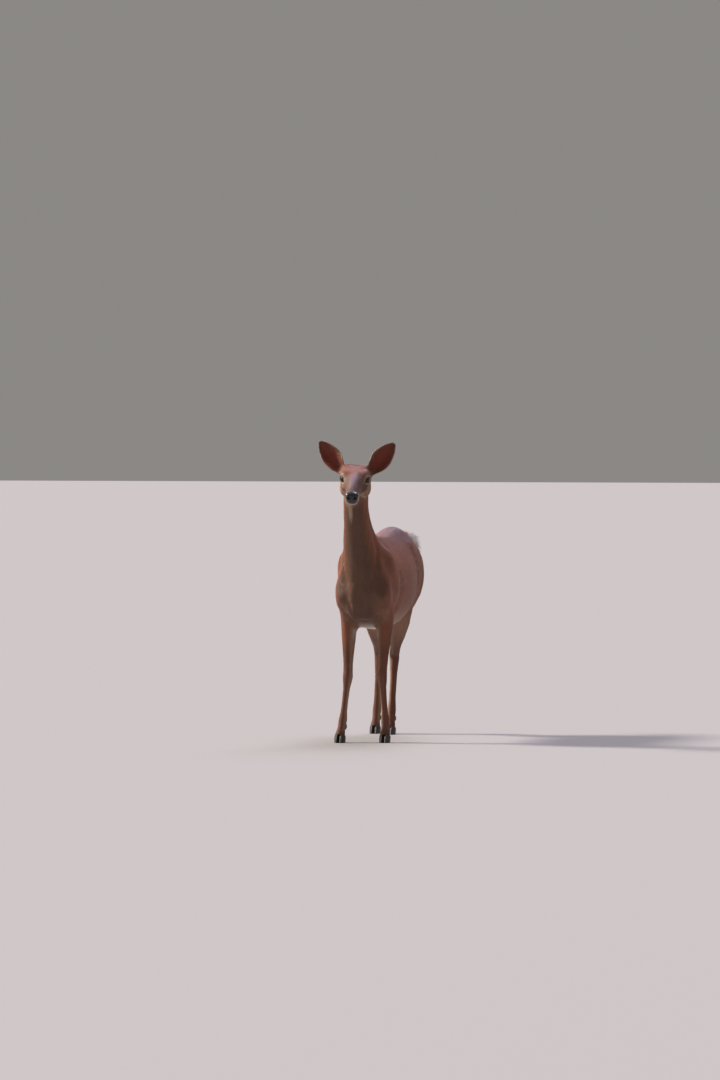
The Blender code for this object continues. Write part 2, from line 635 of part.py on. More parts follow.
def build_body():
    """Yields the neck, trunk, tail and legs, with their claws."""
    flesh = body_flesh()
    ends = [("INTERSECT", before(NAPE_CUT, GAP / 2)), ("INTERSECT", beyond(WITHERS_CUT, GAP / 2))]
    yield combine("neck", flesh, ends), COAT
    tail = prism(TAIL_ZONE, "YZ", -0.3, 0.3)
    tools = [("INTERSECT", before(WITHERS_CUT, GAP / 2)), ("DIFFERENCE", grown(tail))]
    yield combine("tail", flesh, [("INTERSECT", tail)]), COAT_TAIL
    for way, side in (("left", 1), ("right", -1)):
        for name, joints in ((f"front_{way}_leg", FORE_JOINTS[way]), (f"hind_{way}_leg", HIND_JOINTS[way])):
            yield from build_leg(flesh, name, joints, side)
            tools.append(("DIFFERENCE", grown(leg_zone(name, side))))
    yield combine("trunk", flesh, tools), COAT
    bpy.data.objects.remove(flesh)


def main():
    """Builds the doe and stands it on the floor, centred."""
    for old in list(bpy.data.objects):
        bpy.data.objects.remove(old)
    made = []
    for piece, finish in [*build_head(), *build_body()]:
        paint(piece, finish)
        made.append(piece)
    corners = np.array([vert.co[:] for piece in made for vert in piece.data.vertices])
    low, high = corners.min(axis=0), corners.max(axis=0)
    middle = (low + high) / 2
    move = Matrix.Translation((-middle[0], -middle[1], -low[2]))
    doe = bpy.data.collections.new("white-tailed doe")
    bpy.context.scene.collection.children.link(doe)
    for piece in made:
        piece.data.transform(move)
        bpy.context.scene.collection.objects.unlink(piece)
        doe.objects.link(piece)


main()
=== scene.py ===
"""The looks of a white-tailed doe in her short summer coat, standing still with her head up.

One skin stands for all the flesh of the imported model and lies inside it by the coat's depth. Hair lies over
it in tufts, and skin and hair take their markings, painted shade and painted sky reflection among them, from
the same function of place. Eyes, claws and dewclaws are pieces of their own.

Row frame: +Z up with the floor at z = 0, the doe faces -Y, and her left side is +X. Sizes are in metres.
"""

import logging
import math
from dataclasses import dataclass
from enum import Enum, auto

import bmesh
import bpy
import numpy as np
from mathutils import Euler, Matrix, Vector
from mathutils.bvhtree import BVHTree
from mathutils.kdtree import KDTree


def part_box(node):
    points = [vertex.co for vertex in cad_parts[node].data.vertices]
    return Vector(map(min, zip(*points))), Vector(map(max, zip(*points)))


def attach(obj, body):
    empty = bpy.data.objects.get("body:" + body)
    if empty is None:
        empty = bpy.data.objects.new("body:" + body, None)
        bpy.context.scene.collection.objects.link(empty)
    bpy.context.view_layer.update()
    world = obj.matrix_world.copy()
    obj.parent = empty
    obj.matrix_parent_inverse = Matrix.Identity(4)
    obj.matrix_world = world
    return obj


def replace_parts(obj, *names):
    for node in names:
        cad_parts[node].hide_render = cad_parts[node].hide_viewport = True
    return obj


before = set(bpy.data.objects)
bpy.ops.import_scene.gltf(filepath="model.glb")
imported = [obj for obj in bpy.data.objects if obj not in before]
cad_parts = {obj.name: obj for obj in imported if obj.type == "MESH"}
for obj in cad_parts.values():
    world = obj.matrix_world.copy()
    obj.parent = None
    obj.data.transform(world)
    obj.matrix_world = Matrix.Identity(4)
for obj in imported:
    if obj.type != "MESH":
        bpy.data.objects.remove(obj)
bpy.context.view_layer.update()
LOG = logging.getLogger("doe")

HEAD_TURN = Euler((math.radians(20.5), math.radians(2.5), math.radians(6.7)), "XYZ")
SIDES = {"left": 1, "right": -1}
FEET = ("front_left", "front_right", "hind_left", "hind_right")
TOES = ("outer", "inner")
Array = np.ndarray
Triple = tuple[float, float, float]


class Part(Enum):
    """The parts of the body that take different hair."""

    HEAD = "head"
    NECK = "neck"
    TRUNK = "trunk"
    TAIL = "tail"
    EAR_LEFT = "ear_left"
    EAR_RIGHT = "ear_right"
    FRONT_LEFT = "front_left_leg"
    FRONT_RIGHT = "front_right_leg"
    HIND_LEFT = "hind_left_leg"
    HIND_RIGHT = "hind_right_leg"


EARS = (Part.EAR_LEFT, Part.EAR_RIGHT)
FRONT_LEGS = (Part.FRONT_LEFT, Part.FRONT_RIGHT)
HIND_LEGS = (Part.HIND_LEFT, Part.HIND_RIGHT)
FLESH = tuple(part.value for part in Part)
Shares = dict[Part, Array]


# -------------------------------------------------------------------------------- small maths


def ramp(value: Array, low: float, high: float) -> Array:
    """Rises smoothly from 0 to 1.

    Args:
        value: Numbers to judge.
        low: Where the rise starts.
        high: Where it ends; below low, the ramp falls instead.

    Returns:
        Shares from 0 to 1.
    """
    t = np.clip((value - low) / (high - low), 0, 1)
    return t * t * (3 - 2 * t)


@dataclass(frozen=True)
class Spot:
    """An egg with soft edges: its middle, its half lengths, and the share of them that its edge takes."""

    centre: Triple
    size: Triple
    soft: float = 0.35

    def share(self, points: Array) -> Array:
        """Marks the inside of the egg.

        Args:
            points: Places, one per row.

        Returns:
            1 inside, 0 outside.
        """
        reach = np.sqrt((((points - self.centre) / self.size) ** 2).sum(axis=1))
        return 1 - ramp(reach, 1 - self.soft, 1 + self.soft)


def mixed(first: Array, second: Array | tuple[float, ...], share: Array) -> Array:
    """Blends rows of numbers.

    Args:
        first: The rows to start from.
        second: What they turn into.
        share: How far each row turns.

    Returns:
        The blended rows.
    """
    return first + (np.asarray(second) - first) * share[:, None]


def unit(rows: Array) -> Array:
    """Rows scaled to length 1."""
    return rows / np.maximum(np.linalg.norm(rows, axis=1), 1e-9)[:, None]


def tangent(rows: Array, normals: Array) -> Array:
    """Directions laid flat on the surface and scaled to length 1."""
    return unit(rows - normals * (rows * normals).sum(axis=1)[:, None])


def curve(points: tuple[tuple[float, ...], ...], steps: int) -> Array:
    """Draws a smooth line through a few points.

    Args:
        points: What it passes.
        steps: How many places it takes between two of them.

    Returns:
        Places along the line.
    """
    rows = np.array(points, float)
    ends = np.vstack([2 * rows[0] - rows[1], rows, 2 * rows[-1] - rows[-2]])
    found = []
    for a, b, c, d in zip(ends, ends[1:], ends[2:], ends[3:]):
        for t in np.arange(steps) / steps:
            bend = (2 * a - 5 * b + 4 * c - d) * t**2 + (3 * b - a - 3 * c + d) * t**3
            found.append(b + ((c - a) * t + bend) / 2)
    return np.vstack([found, rows[-1:]])


def nearest(points: Array, line: Array) -> tuple[Array, Array]:
    """Finds where a line passes closest to each point.

    Args:
        points: Places, one per row.
        line: Places along the line.

    Returns:
        The index of the closest place on the line, and the distance to it.
    """
    index = np.zeros(len(points), int)
    reach = np.full(len(points), np.inf)
    for number, place in enumerate(line):
        far = np.linalg.norm(points - place, axis=1)
        closer = far < reach
        index[closer] = number
        reach[closer] = far[closer]
    return index, reach


def paint_rgb(red: int, green: int, blue: int) -> Triple:
    """A colour given in the usual 0 to 255 steps, as linear shares."""
    shares = (red / 255, green / 255, blue / 255)
    return tuple(s / 12.92 if s <= 0.04045 else ((s + 0.055) / 1.055) ** 2.4 for s in shares)


# -------------------------------------------------------------------------------- mesh helpers


def read_points(mesh: bpy.types.Mesh) -> Array:
    """Reads the places of a mesh's vertices."""
    flat = np.empty(len(mesh.vertices) * 3)
    mesh.vertices.foreach_get("co", flat)
    return flat.reshape(-1, 3)


def write_points(mesh: bpy.types.Mesh, points: Array) -> None:
    """Moves a mesh's vertices to these places."""
    mesh.vertices.foreach_set("co", points.ravel())
    mesh.update()


def read_normals(mesh: bpy.types.Mesh) -> Array:
    """Reads the directions that a mesh's vertices face."""
    flat = np.empty(len(mesh.vertices) * 3)
    mesh.vertex_normals.foreach_get("vector", flat)
    return flat.reshape(-1, 3)


def read_triangles(mesh: bpy.types.Mesh) -> Array:
    """Reads the corners of a triangulated mesh's faces."""
    flat = np.empty(len(mesh.polygons) * 3, np.int32)
    mesh.polygons.foreach_get("vertices", flat)
    return flat.reshape(-1, 3)


def write_value(mesh: bpy.types.Mesh, name: str, kind: str, values: Array) -> None:
    """Stores one value for each vertex under a name.

    Args:
        mesh: The mesh that keeps them.
        name: The attribute's name.
        kind: FLOAT, FLOAT_VECTOR or FLOAT_COLOR.
        values: One row for each vertex.
    """
    field = {"FLOAT": "value", "FLOAT_VECTOR": "vector", "FLOAT_COLOR": "color"}[kind]
    if kind == "FLOAT_COLOR":
        values = np.column_stack([values, np.ones(len(values))])
    made = mesh.attributes.new(name, kind, "POINT")
    made.data.foreach_set(field, np.ascontiguousarray(values, np.float32).ravel())


def place_object(name: str, mesh: bpy.types.Mesh) -> bpy.types.Object:
    """Puts a finished mesh in the scene as a piece of the doe.

    Args:
        name: The piece's name.
        mesh: Its mesh, in the row frame.

    Returns:
        The new object.
    """
    made = bpy.data.objects.new(name, mesh)
    mesh.name = name
    bpy.context.scene.collection.objects.link(made)
    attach(made, "root")
    LOG.info("%s: %d faces", name, len(mesh.polygons))
    return made


def bake_modifiers(made: bpy.types.Object) -> None:
    """Applies an object's modifiers to its mesh."""
    bpy.context.view_layer.update()
    graph = bpy.context.evaluated_depsgraph_get()
    mesh = bpy.data.meshes.new_from_object(made.evaluated_get(graph))
    made.modifiers.clear()
    old = made.data
    made.data = mesh
    bpy.data.meshes.remove(old)


def clean_copy(node: str, grow: float = 0.0) -> bmesh.types.BMesh:
    """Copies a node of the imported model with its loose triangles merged.

    Args:
        node: The node's name.
        grow: How far each face moves out.

    Returns:
        A new bmesh.
    """
    bm = bmesh.new()
    bm.from_mesh(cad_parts[node].data)
    bmesh.ops.remove_doubles(bm, verts=bm.verts, dist=0.00002)
    bm.normal_update()
    moves = [(vert, vert.normal * grow) for vert in bm.verts]
    for vert, move in moves:
        vert.co += move
    return bm


class Net:
    """The edges of a mesh, which carry values from each point to its neighbours."""

    def __init__(self, mesh: bpy.types.Mesh) -> None:
        """Reads the edges.

        Args:
            mesh: The mesh to follow.
        """
        ends = np.empty(len(mesh.edges) * 2, np.int64)
        mesh.edges.foreach_get("vertices", ends)
        self.a, self.b = ends.reshape(-1, 2).T
        self.count = len(mesh.vertices)
        self.valence = np.bincount(np.concatenate([self.a, self.b]), minlength=self.count)

    def average(self, values: Array) -> Array:
        """Averages the neighbours of each point.

        Args:
            values: One row for each point.

        Returns:
            Rows of the same shape.
        """
        columns = values.reshape(self.count, -1).T
        total = [
            np.bincount(self.a, column[self.b], self.count) + np.bincount(self.b, column[self.a], self.count)
            for column in columns
        ]
        return (np.column_stack(total) / np.maximum(self.valence, 1)[:, None]).reshape(values.shape)

    def spread(self, values: Array, rounds: int, share: float = 0.5) -> Array:
        """Softens values over the surface.

        Args:
            values: One row for each point.
            rounds: How many times they mix.
            share: How much of the neighbours each round takes.

        Returns:
            The softened values.
        """
        for _ in range(rounds):
            values = values + (self.average(values) - values) * share
        return values


# -------------------------------------------------------------------------------- the head's frame


class Head:
    """The level head's own frame: x to the doe's left, y backwards from between the eyes, z up."""

    def __init__(self) -> None:
        """Finds the head from its eyes."""
        self.eyes = {way: sum(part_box(f"eye_{way}"), Vector()) / 2 for way in SIDES}
        self.origin = (self.eyes["left"] + self.eyes["right"]) / 2
        self.turn = np.array(HEAD_TURN.to_matrix())

    def enter(self, points: Array) -> Array:
        """Places of the row frame in the head's frame."""
        return (points - np.array(self.origin)) @ self.turn

    def leave(self, points: Array) -> Array:
        """Places of the head's frame in the row frame."""
        return points @ self.turn.T + np.array(self.origin)

    def aim(self, rows: Array) -> Array:
        """Directions of the head's frame in the row frame."""
        return rows @ self.turn.T


@dataclass
class Eye:
    """One eye: its ball, and the shape that its lids take. A crease is the ring it lies on and its depth."""

    side: int
    centre: Array
    head: Head
    radius: float = 0.0175
    forward: float = math.radians(30)
    slant: float = math.radians(12)
    half_length: float = 0.0132
    half_height: float = 0.0092
    reach: float = 0.034
    lid_gap: float = 0.0004
    lid_rim: float = 0.0021
    lid_hollow: float = 0.0006
    upper_crease: tuple[float, float] = (1.50, 0.0013)
    lower_crease: tuple[float, float] = (1.62, 0.0008)

    def axes(self) -> Array:
        """Works out how the eye is turned.

        Returns:
            Rows: towards the nose along the opening, up across it, and the way it looks.
        """
        look = Vector((self.side * math.cos(self.forward), -math.sin(self.forward), 0.04)).normalized()
        ahead = Vector((-self.side * math.sin(self.forward), -math.cos(self.forward), -math.tan(self.slant)))
        ahead = (ahead - look * ahead.dot(look)).normalized()
        up = look.cross(ahead) * -self.side
        return self.head.aim(np.array([ahead, up, look]))

    def enter(self, points: Array) -> Array:
        """Places of the row frame as (ahead, up, out) from the middle of the ball."""
        return (points - self.centre) @ self.axes().T

    def leave(self, local: Array) -> Array:
        """Places given as (ahead, up, out), in the row frame."""
        return local @ self.axes() + self.centre

    def ring(self, local: Array) -> Array:
        """Measures how far a place is from the middle of the opening.

        Args:
            local: Places as (ahead, up, out).

        Returns:
            0 in the middle, 1 on the lids' edge.
        """
        ahead, up = local[:, 0], local[:, 1]
        height = self.half_height * np.where(up > 0, 1.20, 0.94) * (1 - 0.05 * ahead / self.half_length)
        height = np.maximum(height, 0.3 * self.half_height)
        length = self.half_length * np.where(ahead > 0, 1.08, 0.94)
        power = np.where(ahead > 0, 1.55, 1.85)
        return (np.abs(ahead / length) ** power + np.abs(up / height) ** 1.9) ** (1 / 1.8)

    def dome(self, local: Array) -> Array:
        """How far out the ball's surface is, levelled off past its edge."""
        left = self.radius**2 - local[:, 0] ** 2 - local[:, 1] ** 2
        return np.sqrt(np.maximum(left, (0.42 * self.radius) ** 2))

    def shape_lids(self, points: Array) -> Array:
        """Opens the lids over the ball and rolls their edges.

        Args:
            points: The skin's vertices.

        Returns:
            Their new places.
        """
        local = self.enter(points)
        near = (np.linalg.norm(local, axis=1) < self.reach) & (local[:, 2] > 0.002)
        part = local[near]
        ring = self.ring(part)
        dome = self.dome(part)
        snap = np.abs(ring - 1) < 0.075
        part[snap, :2] /= ring[snap, None]
        ring[snap] = 1.0
        dome[snap] = self.dome(part[snap])
        rim, hollow = ramp(ring, 1.0, 1.16), ramp(ring, 1.25, 1.8)
        lid = dome + self.lid_gap + self.lid_rim * rim - self.lid_hollow * hollow
        upper = part[:, 1] > 0
        crease, depth = (np.where(upper, *pair) for pair in zip(self.upper_crease, self.lower_crease))
        lid -= depth * np.exp(-(((ring - crease) / 0.09) ** 2))
        hold = 1 - ramp(ring, 1.25, 2.05)
        out = part[:, 2] + (lid - part[:, 2]) * hold
        inside = ring < 0.999
        out[inside] = (dome - 0.0016 - 0.009 * np.minimum(1 - ring, 0.5))[inside]
        part[:, 2] = out
        local[near] = part
        moved = points.copy()
        moved[near] = self.leave(part)
        return moved


# -------------------------------------------------------------------------------- markings, with painted shade and painted sky reflection


@dataclass(frozen=True)
class Hues:
    """The colours of the coat and of the bare skin, with a painted sky reflection among them."""

    red: Triple = paint_rgb(154, 95, 71)
    rust: Triple = paint_rgb(136, 80, 60)
    dark: Triple = paint_rgb(94, 64, 52)
    tan: Triple = paint_rgb(172, 138, 114)
    dun: Triple = paint_rgb(104, 80, 64)
    # grey is a painted sky reflection: the lavender sheen laid on up-facing hair of the croup and the nose
    # bridge
    grey: Triple = paint_rgb(142, 114, 126)
    cream: Triple = paint_rgb(214, 194, 168)
    white: Triple = paint_rgb(235, 228, 218)
    black: Triple = paint_rgb(26, 22, 22)
    brown_black: Triple = paint_rgb(52, 36, 30)
    # the cup's red: partly the pinkish skin, partly painted light shining through the ear
    ear_skin: Triple = paint_rgb(140, 62, 48)


@dataclass
class Markings:
    """Where each colour of the doe lies, as smooth shapes on her body, painted shade and painted sky
    reflection among them.

    The cheek, band and smudge are in the head's frame, and the duct is in the eye's.
    """

    head: Head
    eyes: tuple[Eye, ...]
    hues: Hues = Hues()
    # the haunch spot darkens the haunch behind the barrel: painted shade
    haunch: Spot = Spot((0.008, 0.330, 0.640), (0.160, 0.190, 0.200), 0.9)
    elbow: Spot = Spot((-0.104, -0.218, 0.550), (0.022, 0.026, 0.017), 0.7)
    # painted shade: the brisket between the forelegs, darkened nearly to black
    brisket: Spot = Spot((0.006, -0.365, 0.518), (0.090, 0.095, 0.062), 0.6)
    seat: Spot = Spot((0.010, 0.510, 0.660), (0.046, 0.070, 0.175))
    throat_patch: Spot = Spot((-0.016, -0.500, 1.038), (0.026, 0.060, 0.028), 0.6)
    throat_streak: Spot = Spot((-0.020, -0.470, 0.985), (0.008, 0.050, 0.036), 0.7)
    cheek: Spot = Spot((0.052, 0.030, -0.045), (0.030, 0.050, 0.030), 0.5)
    band: Spot = Spot((0.018, -0.130, -0.026), (0.022, 0.009, 0.022), 0.45)
    smudge: Spot = Spot((0.020, -0.112, -0.050), (0.014, 0.012, 0.007), 0.5)
    duct: Spot = Spot((0.0235, -0.004, 0.004), (0.010, 0.0035, 0.012), 0.4)

    def body(self, points: Array, normals: Array) -> Array:
        """Colours the trunk and the neck, with painted shade on the haunch, the breast and the brisket, and a
        painted sky reflection on the croup.

        Args:
            points: Places on the skin.
            normals: The way it faces there.

        Returns:
            A colour for each place.
        """
        hues = self.hues
        x, y, z = points.T
        up = normals[:, 2]
        colour = np.tile(hues.red, (len(points), 1))
        spine = ramp(up, 0.55, 0.95) * ramp(z, 0.80, 0.86)
        colour = mixed(colour, hues.rust, 0.55 * spine)
        # painted reflection: a lavender grey sky sheen laid on the up-facing hair of the croup
        croup = ramp(up, 0.35, 0.80) * ramp(z, 0.77, 0.85) * (0.35 + 0.65 * ramp(y, 0.05, 0.22))
        colour = mixed(colour, hues.grey, 0.75 * croup)
        # painted shade: the haunch behind the barrel is darkened
        colour = mixed(colour, hues.dark, 0.22 * self.haunch.share(points))
        # the breast and the front of the neck turn dun: partly their greyer brown, partly painted shade on
        # the forward-facing hair
        front = ramp(-normals[:, 1], 0.25, 0.8) * ramp(-y, 0.22, 0.34)
        colour = mixed(colour, hues.dun, 0.85 * front * ramp(z, 0.47, 0.60))
        low = ramp(-up, 0.10, 0.60) * ramp(z, 0.60, 0.50)
        colour = mixed(colour, hues.tan, 0.5 * low)
        belly = ramp(-up, 0.72, 0.95) * ramp(z, 0.52, 0.485) * ramp(y, -0.31, -0.24)
        colour = mixed(colour, hues.white, belly)
        colour = mixed(colour, hues.cream, 0.55 * self.elbow.share(points))
        # painted shade: the brisket between the forelegs is darkened nearly to black
        brisket = 0.60 * self.brisket.share(points) * ramp(-normals[:, 1], -0.6, 0.1)
        colour = mixed(colour, hues.brown_black, brisket)
        seat = self.seat.share(points) * ramp(normals[:, 1], 0.1, 0.6)
        return mixed(colour, hues.white, 0.9 * seat)

    def throat(self, colour: Array, points: Array, normals: Array, neck: Array) -> Array:
        """Adds the pale patch under the jaw and the faint streak below it, both on the doe's right.

        Args:
            colour: Colours so far.
            points: Places on the skin.
            normals: The way it faces there.
            neck: How much each place belongs to the neck.

        Returns:
            The new colours.
        """
        patch = 0.90 * self.throat_patch.share(points) * ramp(-normals[:, 1], -0.2, 0.3)
        colour = mixed(colour, self.hues.cream, patch)
        return mixed(colour, self.hues.cream, 0.40 * self.throat_streak.share(points) * neck)

    def legs(self, colour: Array, points: Array, normals: Array, shares: Shares) -> Array:
        """Colours the legs: dark down the shin and above the claws, tan inside and behind, pale at the top.

        Args:
            colour: Colours so far.
            points: Places on the skin.
            normals: The way it faces there.
            shares: How much each place belongs to each part.

        Returns:
            The new colours.
        """
        hues = self.hues
        z = points[:, 2]
        for part in FRONT_LEGS + HIND_LEGS:
            side = 1 if part.value.count("left") else -1
            share = shares[part]
            inner = -side * normals[:, 0]
            inward = ramp(inner, 0.15, 0.75)
            behind = ramp(normals[:, 1], 0.2, 0.8)
            shin = ramp(z, 0.50, 0.36)
            colour = mixed(colour, hues.dark, 0.55 * share * shin)
            colour = mixed(colour, hues.tan, share * np.clip(0.85 * inward + 0.35 * behind, 0, 1))
            if part in HIND_LEGS:
                thigh = ramp(inner, 0.50, 0.85) * ramp(z, 0.36, 0.46)
                colour = mixed(colour, hues.cream, 0.35 * share * thigh)
                rear = ramp(normals[:, 1], 0.35, 0.8) * ramp(z, 0.44, 0.52) * ramp(inner, 0.0, 0.4)
                colour = mixed(colour, hues.white, 0.8 * share * rear)
            else:
                elbow = ramp(inner, 0.60, 0.92) * ramp(z, 0.42, 0.47)
                colour = mixed(colour, hues.white, 0.5 * share * elbow)
            hem = share * ramp(z, 0.060, 0.040)
            colour = mixed(colour, hues.dark, 0.7 * hem)
        return colour

    def face(self, colour: Array, points: Array, normals: Array, head_share: Array) -> Array:
        """Colours the head, with a pale ring round each eye, its dark lids and a painted sky reflection on
        the bridge of the nose.

        Args:
            colour: Colours so far.
            points: Places on the skin.
            normals: The way it faces there.
            head_share: How much each place belongs to the head.

        Returns:
            The new colours.
        """
        hues = self.hues
        local = self.head.enter(points)
        mirrored = np.abs(local) * (1, 0, 0) + local * (0, 1, 1)
        facing = normals @ self.head.turn
        x, y, z = mirrored.T
        own = mixed(np.tile(hues.red, (len(points), 1)), hues.dun, 0.35 + 0.45 * ramp(y, 0.02, -0.06))
        own = mixed(own, hues.dark, 0.22 * ramp(y, 0.04, -0.02))
        own = mixed(own, hues.dark, 0.40 * ramp(z, -0.004, 0.020) * ramp(y, -0.050, -0.010))
        own = mixed(own, hues.rust, ramp(z, 0.012, 0.032) * ramp(y, -0.055, -0.015))
        # painted reflection: the up-facing top of the nose bridge turns lavender grey, a sky sheen laid into
        # its colour
        bridge = ramp(facing[:, 2], 0.35, 0.8) * ramp(x, 0.022, 0.012) * ramp(y, -0.002, -0.035)
        own = mixed(own, hues.grey, 0.75 * bridge)
        own = mixed(own, hues.tan, 0.6 * self.cheek.share(mirrored))
        under = ramp(-facing[:, 2], 0.35, 0.75) * ramp(z, -0.035, -0.060)
        own = mixed(own, hues.cream, under * (0.35 + 0.55 * ramp(y, -0.02, -0.09)))
        jaw = ramp(z, -0.050, -0.062) * ramp(y, -0.04, -0.10)
        own = mixed(own, hues.white, 0.9 * jaw)
        band = self.band.share(mirrored) * ramp(facing[:, 2], 0.75, 0.3)
        own = mixed(own, hues.cream, 0.70 * band)
        own = mixed(own, hues.brown_black, 0.85 * self.smudge.share(mirrored))
        muzzle = ramp(facing[:, 2], 0.3, 0.8) * ramp(y, -0.100, -0.130)
        own = mixed(own, hues.dark, 0.8 * muzzle)
        for eye in self.eyes:
            local_eye = eye.enter(points)
            ring = eye.ring(local_eye) + 10 * (local_eye[:, 2] < 0)
            pale = ramp(ring, 1.22, 1.40) * ramp(ring, 2.3, 1.75)
            strength = 0.30 + 0.35 * ramp(local_eye[:, 1], 0.002, -0.010)
            own = mixed(own, hues.cream, strength * pale)
            own = mixed(own, hues.brown_black, 0.9 * self.duct.share(local_eye))
            own = mixed(own, hues.black, ramp(ring, 1.26, 1.16))
        own = mixed(own, hues.black, self.nose(points, normals))
        return mixed(colour, own, head_share)

    def nose(self, points: Array, normals: Array) -> Array:
        """Marks the bare black nose pad.

        Args:
            points: Places on the skin.
            normals: The way it faces there.

        Returns:
            1 on the pad, 0 on hair.
        """
        local = self.head.enter(points)
        facing = normals @ self.head.turn
        x, y, z = np.abs(local[:, 0]), local[:, 1], local[:, 2]
        pad = ramp(y + 0.10 * (z + 0.02), -0.1395, -0.1425) * ramp(z, -0.0470, -0.0440)
        wings = ramp(x, 0.029, 0.027)
        back = ramp(-facing[:, 1], -0.30, -0.10)
        return pad * wings * back

    def ears(self, colour: Array, hollow: Array, along: Array, edge: Array, shares: Shares) -> Array:
        """Colours the ears: grey-brown behind, reddish in the cup, partly the skin's own colour and partly
        painted light shining through the ear, with pale rims and dark tips.

        Args:
            colour: Colours so far.
            hollow: 1 inside the cup, 0 behind it.
            along: 0 at the root, 1 at the tip.
            edge: 1 on the rim.
            shares: How much each place belongs to each part.

        Returns:
            The new colours.
        """
        hues = self.hues
        own = np.tile(hues.dun, (len(colour), 1))
        # the cup's red is partly its skin and partly painted light shining through the ear
        cup = mixed(np.tile(hues.ear_skin, (len(colour), 1)), hues.dark, 0.6 * ramp(along, 0.55, 0.95))
        own = own + (cup - own) * hollow[:, None]
        own = mixed(own, hues.cream, 0.90 * edge * (1 - hollow * 0.35))
        own = mixed(own, hues.brown_black, 0.5 * ramp(along, 0.93, 0.99) * ramp(edge, 1.0, 0.5))
        return mixed(colour, own, np.clip(shares[Part.EAR_LEFT] + shares[Part.EAR_RIGHT], 0, 1))


@dataclass
class Ear:
    """One ear, and how places on it are measured along and across its cup."""

    side: int
    root: Vector
    lean: float
    back: float
    twist: float
    head: Head
    length: float = 0.164
    swell: float = 0.049

    def place(self) -> Matrix:
        """Works out where the upright ear, with its hollow towards -Y, is carried to.

        Returns:
            The matrix from the ear's own frame to the row frame.
        """
        tilt = Euler((math.radians(-self.back), math.radians(self.side * self.lean), 0), "XYZ")
        spin = Matrix.Rotation(math.radians(self.side * self.twist), 4, "Z")
        root = self.head.leave(np.array([[self.side * self.root.x, self.root.y, self.root.z]]))[0]
        heading = Matrix.Rotation(HEAD_TURN.z, 4, "Z")
        return Matrix.Translation(root) @ heading @ tilt.to_matrix().to_4x4() @ spin

    def enter(self, points: Array) -> Array:
        """Places of the row frame in the ear's frame."""
        matrix = np.array(self.place())
        return (points - matrix[:3, 3]) @ matrix[:3, :3]

    def aim(self, rows: Array) -> Array:
        """Directions of the ear's frame in the row frame."""
        return rows @ np.array(self.place())[:3, :3].T

    def measure(self, points: Array, normals: Array) -> tuple[Array, Array, Array]:
        """Measures where places lie on the cup.

        Args:
            points: Places on the skin.
            normals: The way it faces there.

        Returns:
            The share of the way to the tip, from -1 to 1 round the back, and 1 inside the cup.
        """
        local = self.enter(points)
        along = np.clip(local[:, 2] / self.length, 0, 1)
        half = self.swell * np.sin(math.pi * np.minimum((0.20 + 0.80 * along) ** 1.05, 0.995)) ** 0.72
        wrap = np.radians(142 - 92 * np.minimum(1.0, along / 0.45) ** 0.8)
        radius = half / wrap
        bow = 0.012 * np.sin(math.pi * along)
        angle = np.arctan2(local[:, 0], local[:, 1] - bow + radius)
        facing = normals @ np.array(self.place())[:3, :3]
        inward = -np.sin(angle) * facing[:, 0] - np.cos(angle) * facing[:, 1]
        return along, angle / wrap, ramp(inward, -0.15, 0.25)


# -------------------------------------------------------------------------------- the tail


@dataclass
class Tail:
    """The tail's bone and flesh, a slim rod under long hair."""

    path: tuple[Triple, ...] = (
        (0.0136, 0.414, 0.818),
        (0.0136, 0.459, 0.829),
        (0.0146, 0.503, 0.841),
        (0.0166, 0.545, 0.849),
        (0.0196, 0.591, 0.842),
        (0.0236, 0.633, 0.806),
        (0.0266, 0.661, 0.755),
        (0.0286, 0.673, 0.705),
    )
    slim_across: float = 0.36
    slim_deep: float = 0.60

    def line(self) -> Array:
        """Places along the tail's middle."""
        return curve(self.path, 10)

    def frames(self, points: Array) -> tuple[Array, Array, Array, Array]:
        """Measures where places lie round the tail.

        Args:
            points: Places on the skin.

        Returns:
            The nearest places on the middle line, its directions there, the share of the way to the tip, and
            the directions that face up from the tail's top.
        """
        line = self.line()
        index, _ = nearest(points, line)
        ahead = unit(np.gradient(line, axis=0))[index]
        above = unit(np.cross(np.tile((1.0, 0.0, 0.0), (len(points), 1)), ahead))
        return line[index], ahead, index / (len(line) - 1), above

    def slim(self, points: Array, share: Array) -> Array:
        """Draws the flesh in to its middle line.

        Args:
            points: The skin's vertices.
            share: How much each belongs to the tail.

        Returns:
            Their new places.
        """
        middle, ahead, along, above = self.frames(points)
        offset = points - middle
        across = np.cross(ahead, above)
        wide = (offset * across).sum(axis=1)
        deep = (offset * above).sum(axis=1)
        amount = share * ramp(along, 0.10, 0.45)
        sideways = across * (wide * (self.slim_across - 1))[:, None]
        down = above * (deep * (self.slim_deep - 1))[:, None]
        return points + (sideways + down) * amount[:, None]


# -------------------------------------------------------------------------------- the skin


@dataclass(frozen=True)
class Fold:
    """A soft groove of the skin between two forms, or with a depth below zero, a ridge."""

    path: tuple[Triple, ...]
    depth: float
    width: float
    both_sides: bool = True
    steps: int = 12

    def sink(self, points: Array, line: Array) -> Array:
        """Works out how deep the groove is at places near its line.

        Args:
            points: Places on the skin.
            line: Places along the groove.

        Returns:
            A depth for each place.
        """
        _, reach = nearest(points, line)
        return self.depth * np.exp(-((reach / self.width) ** 2))


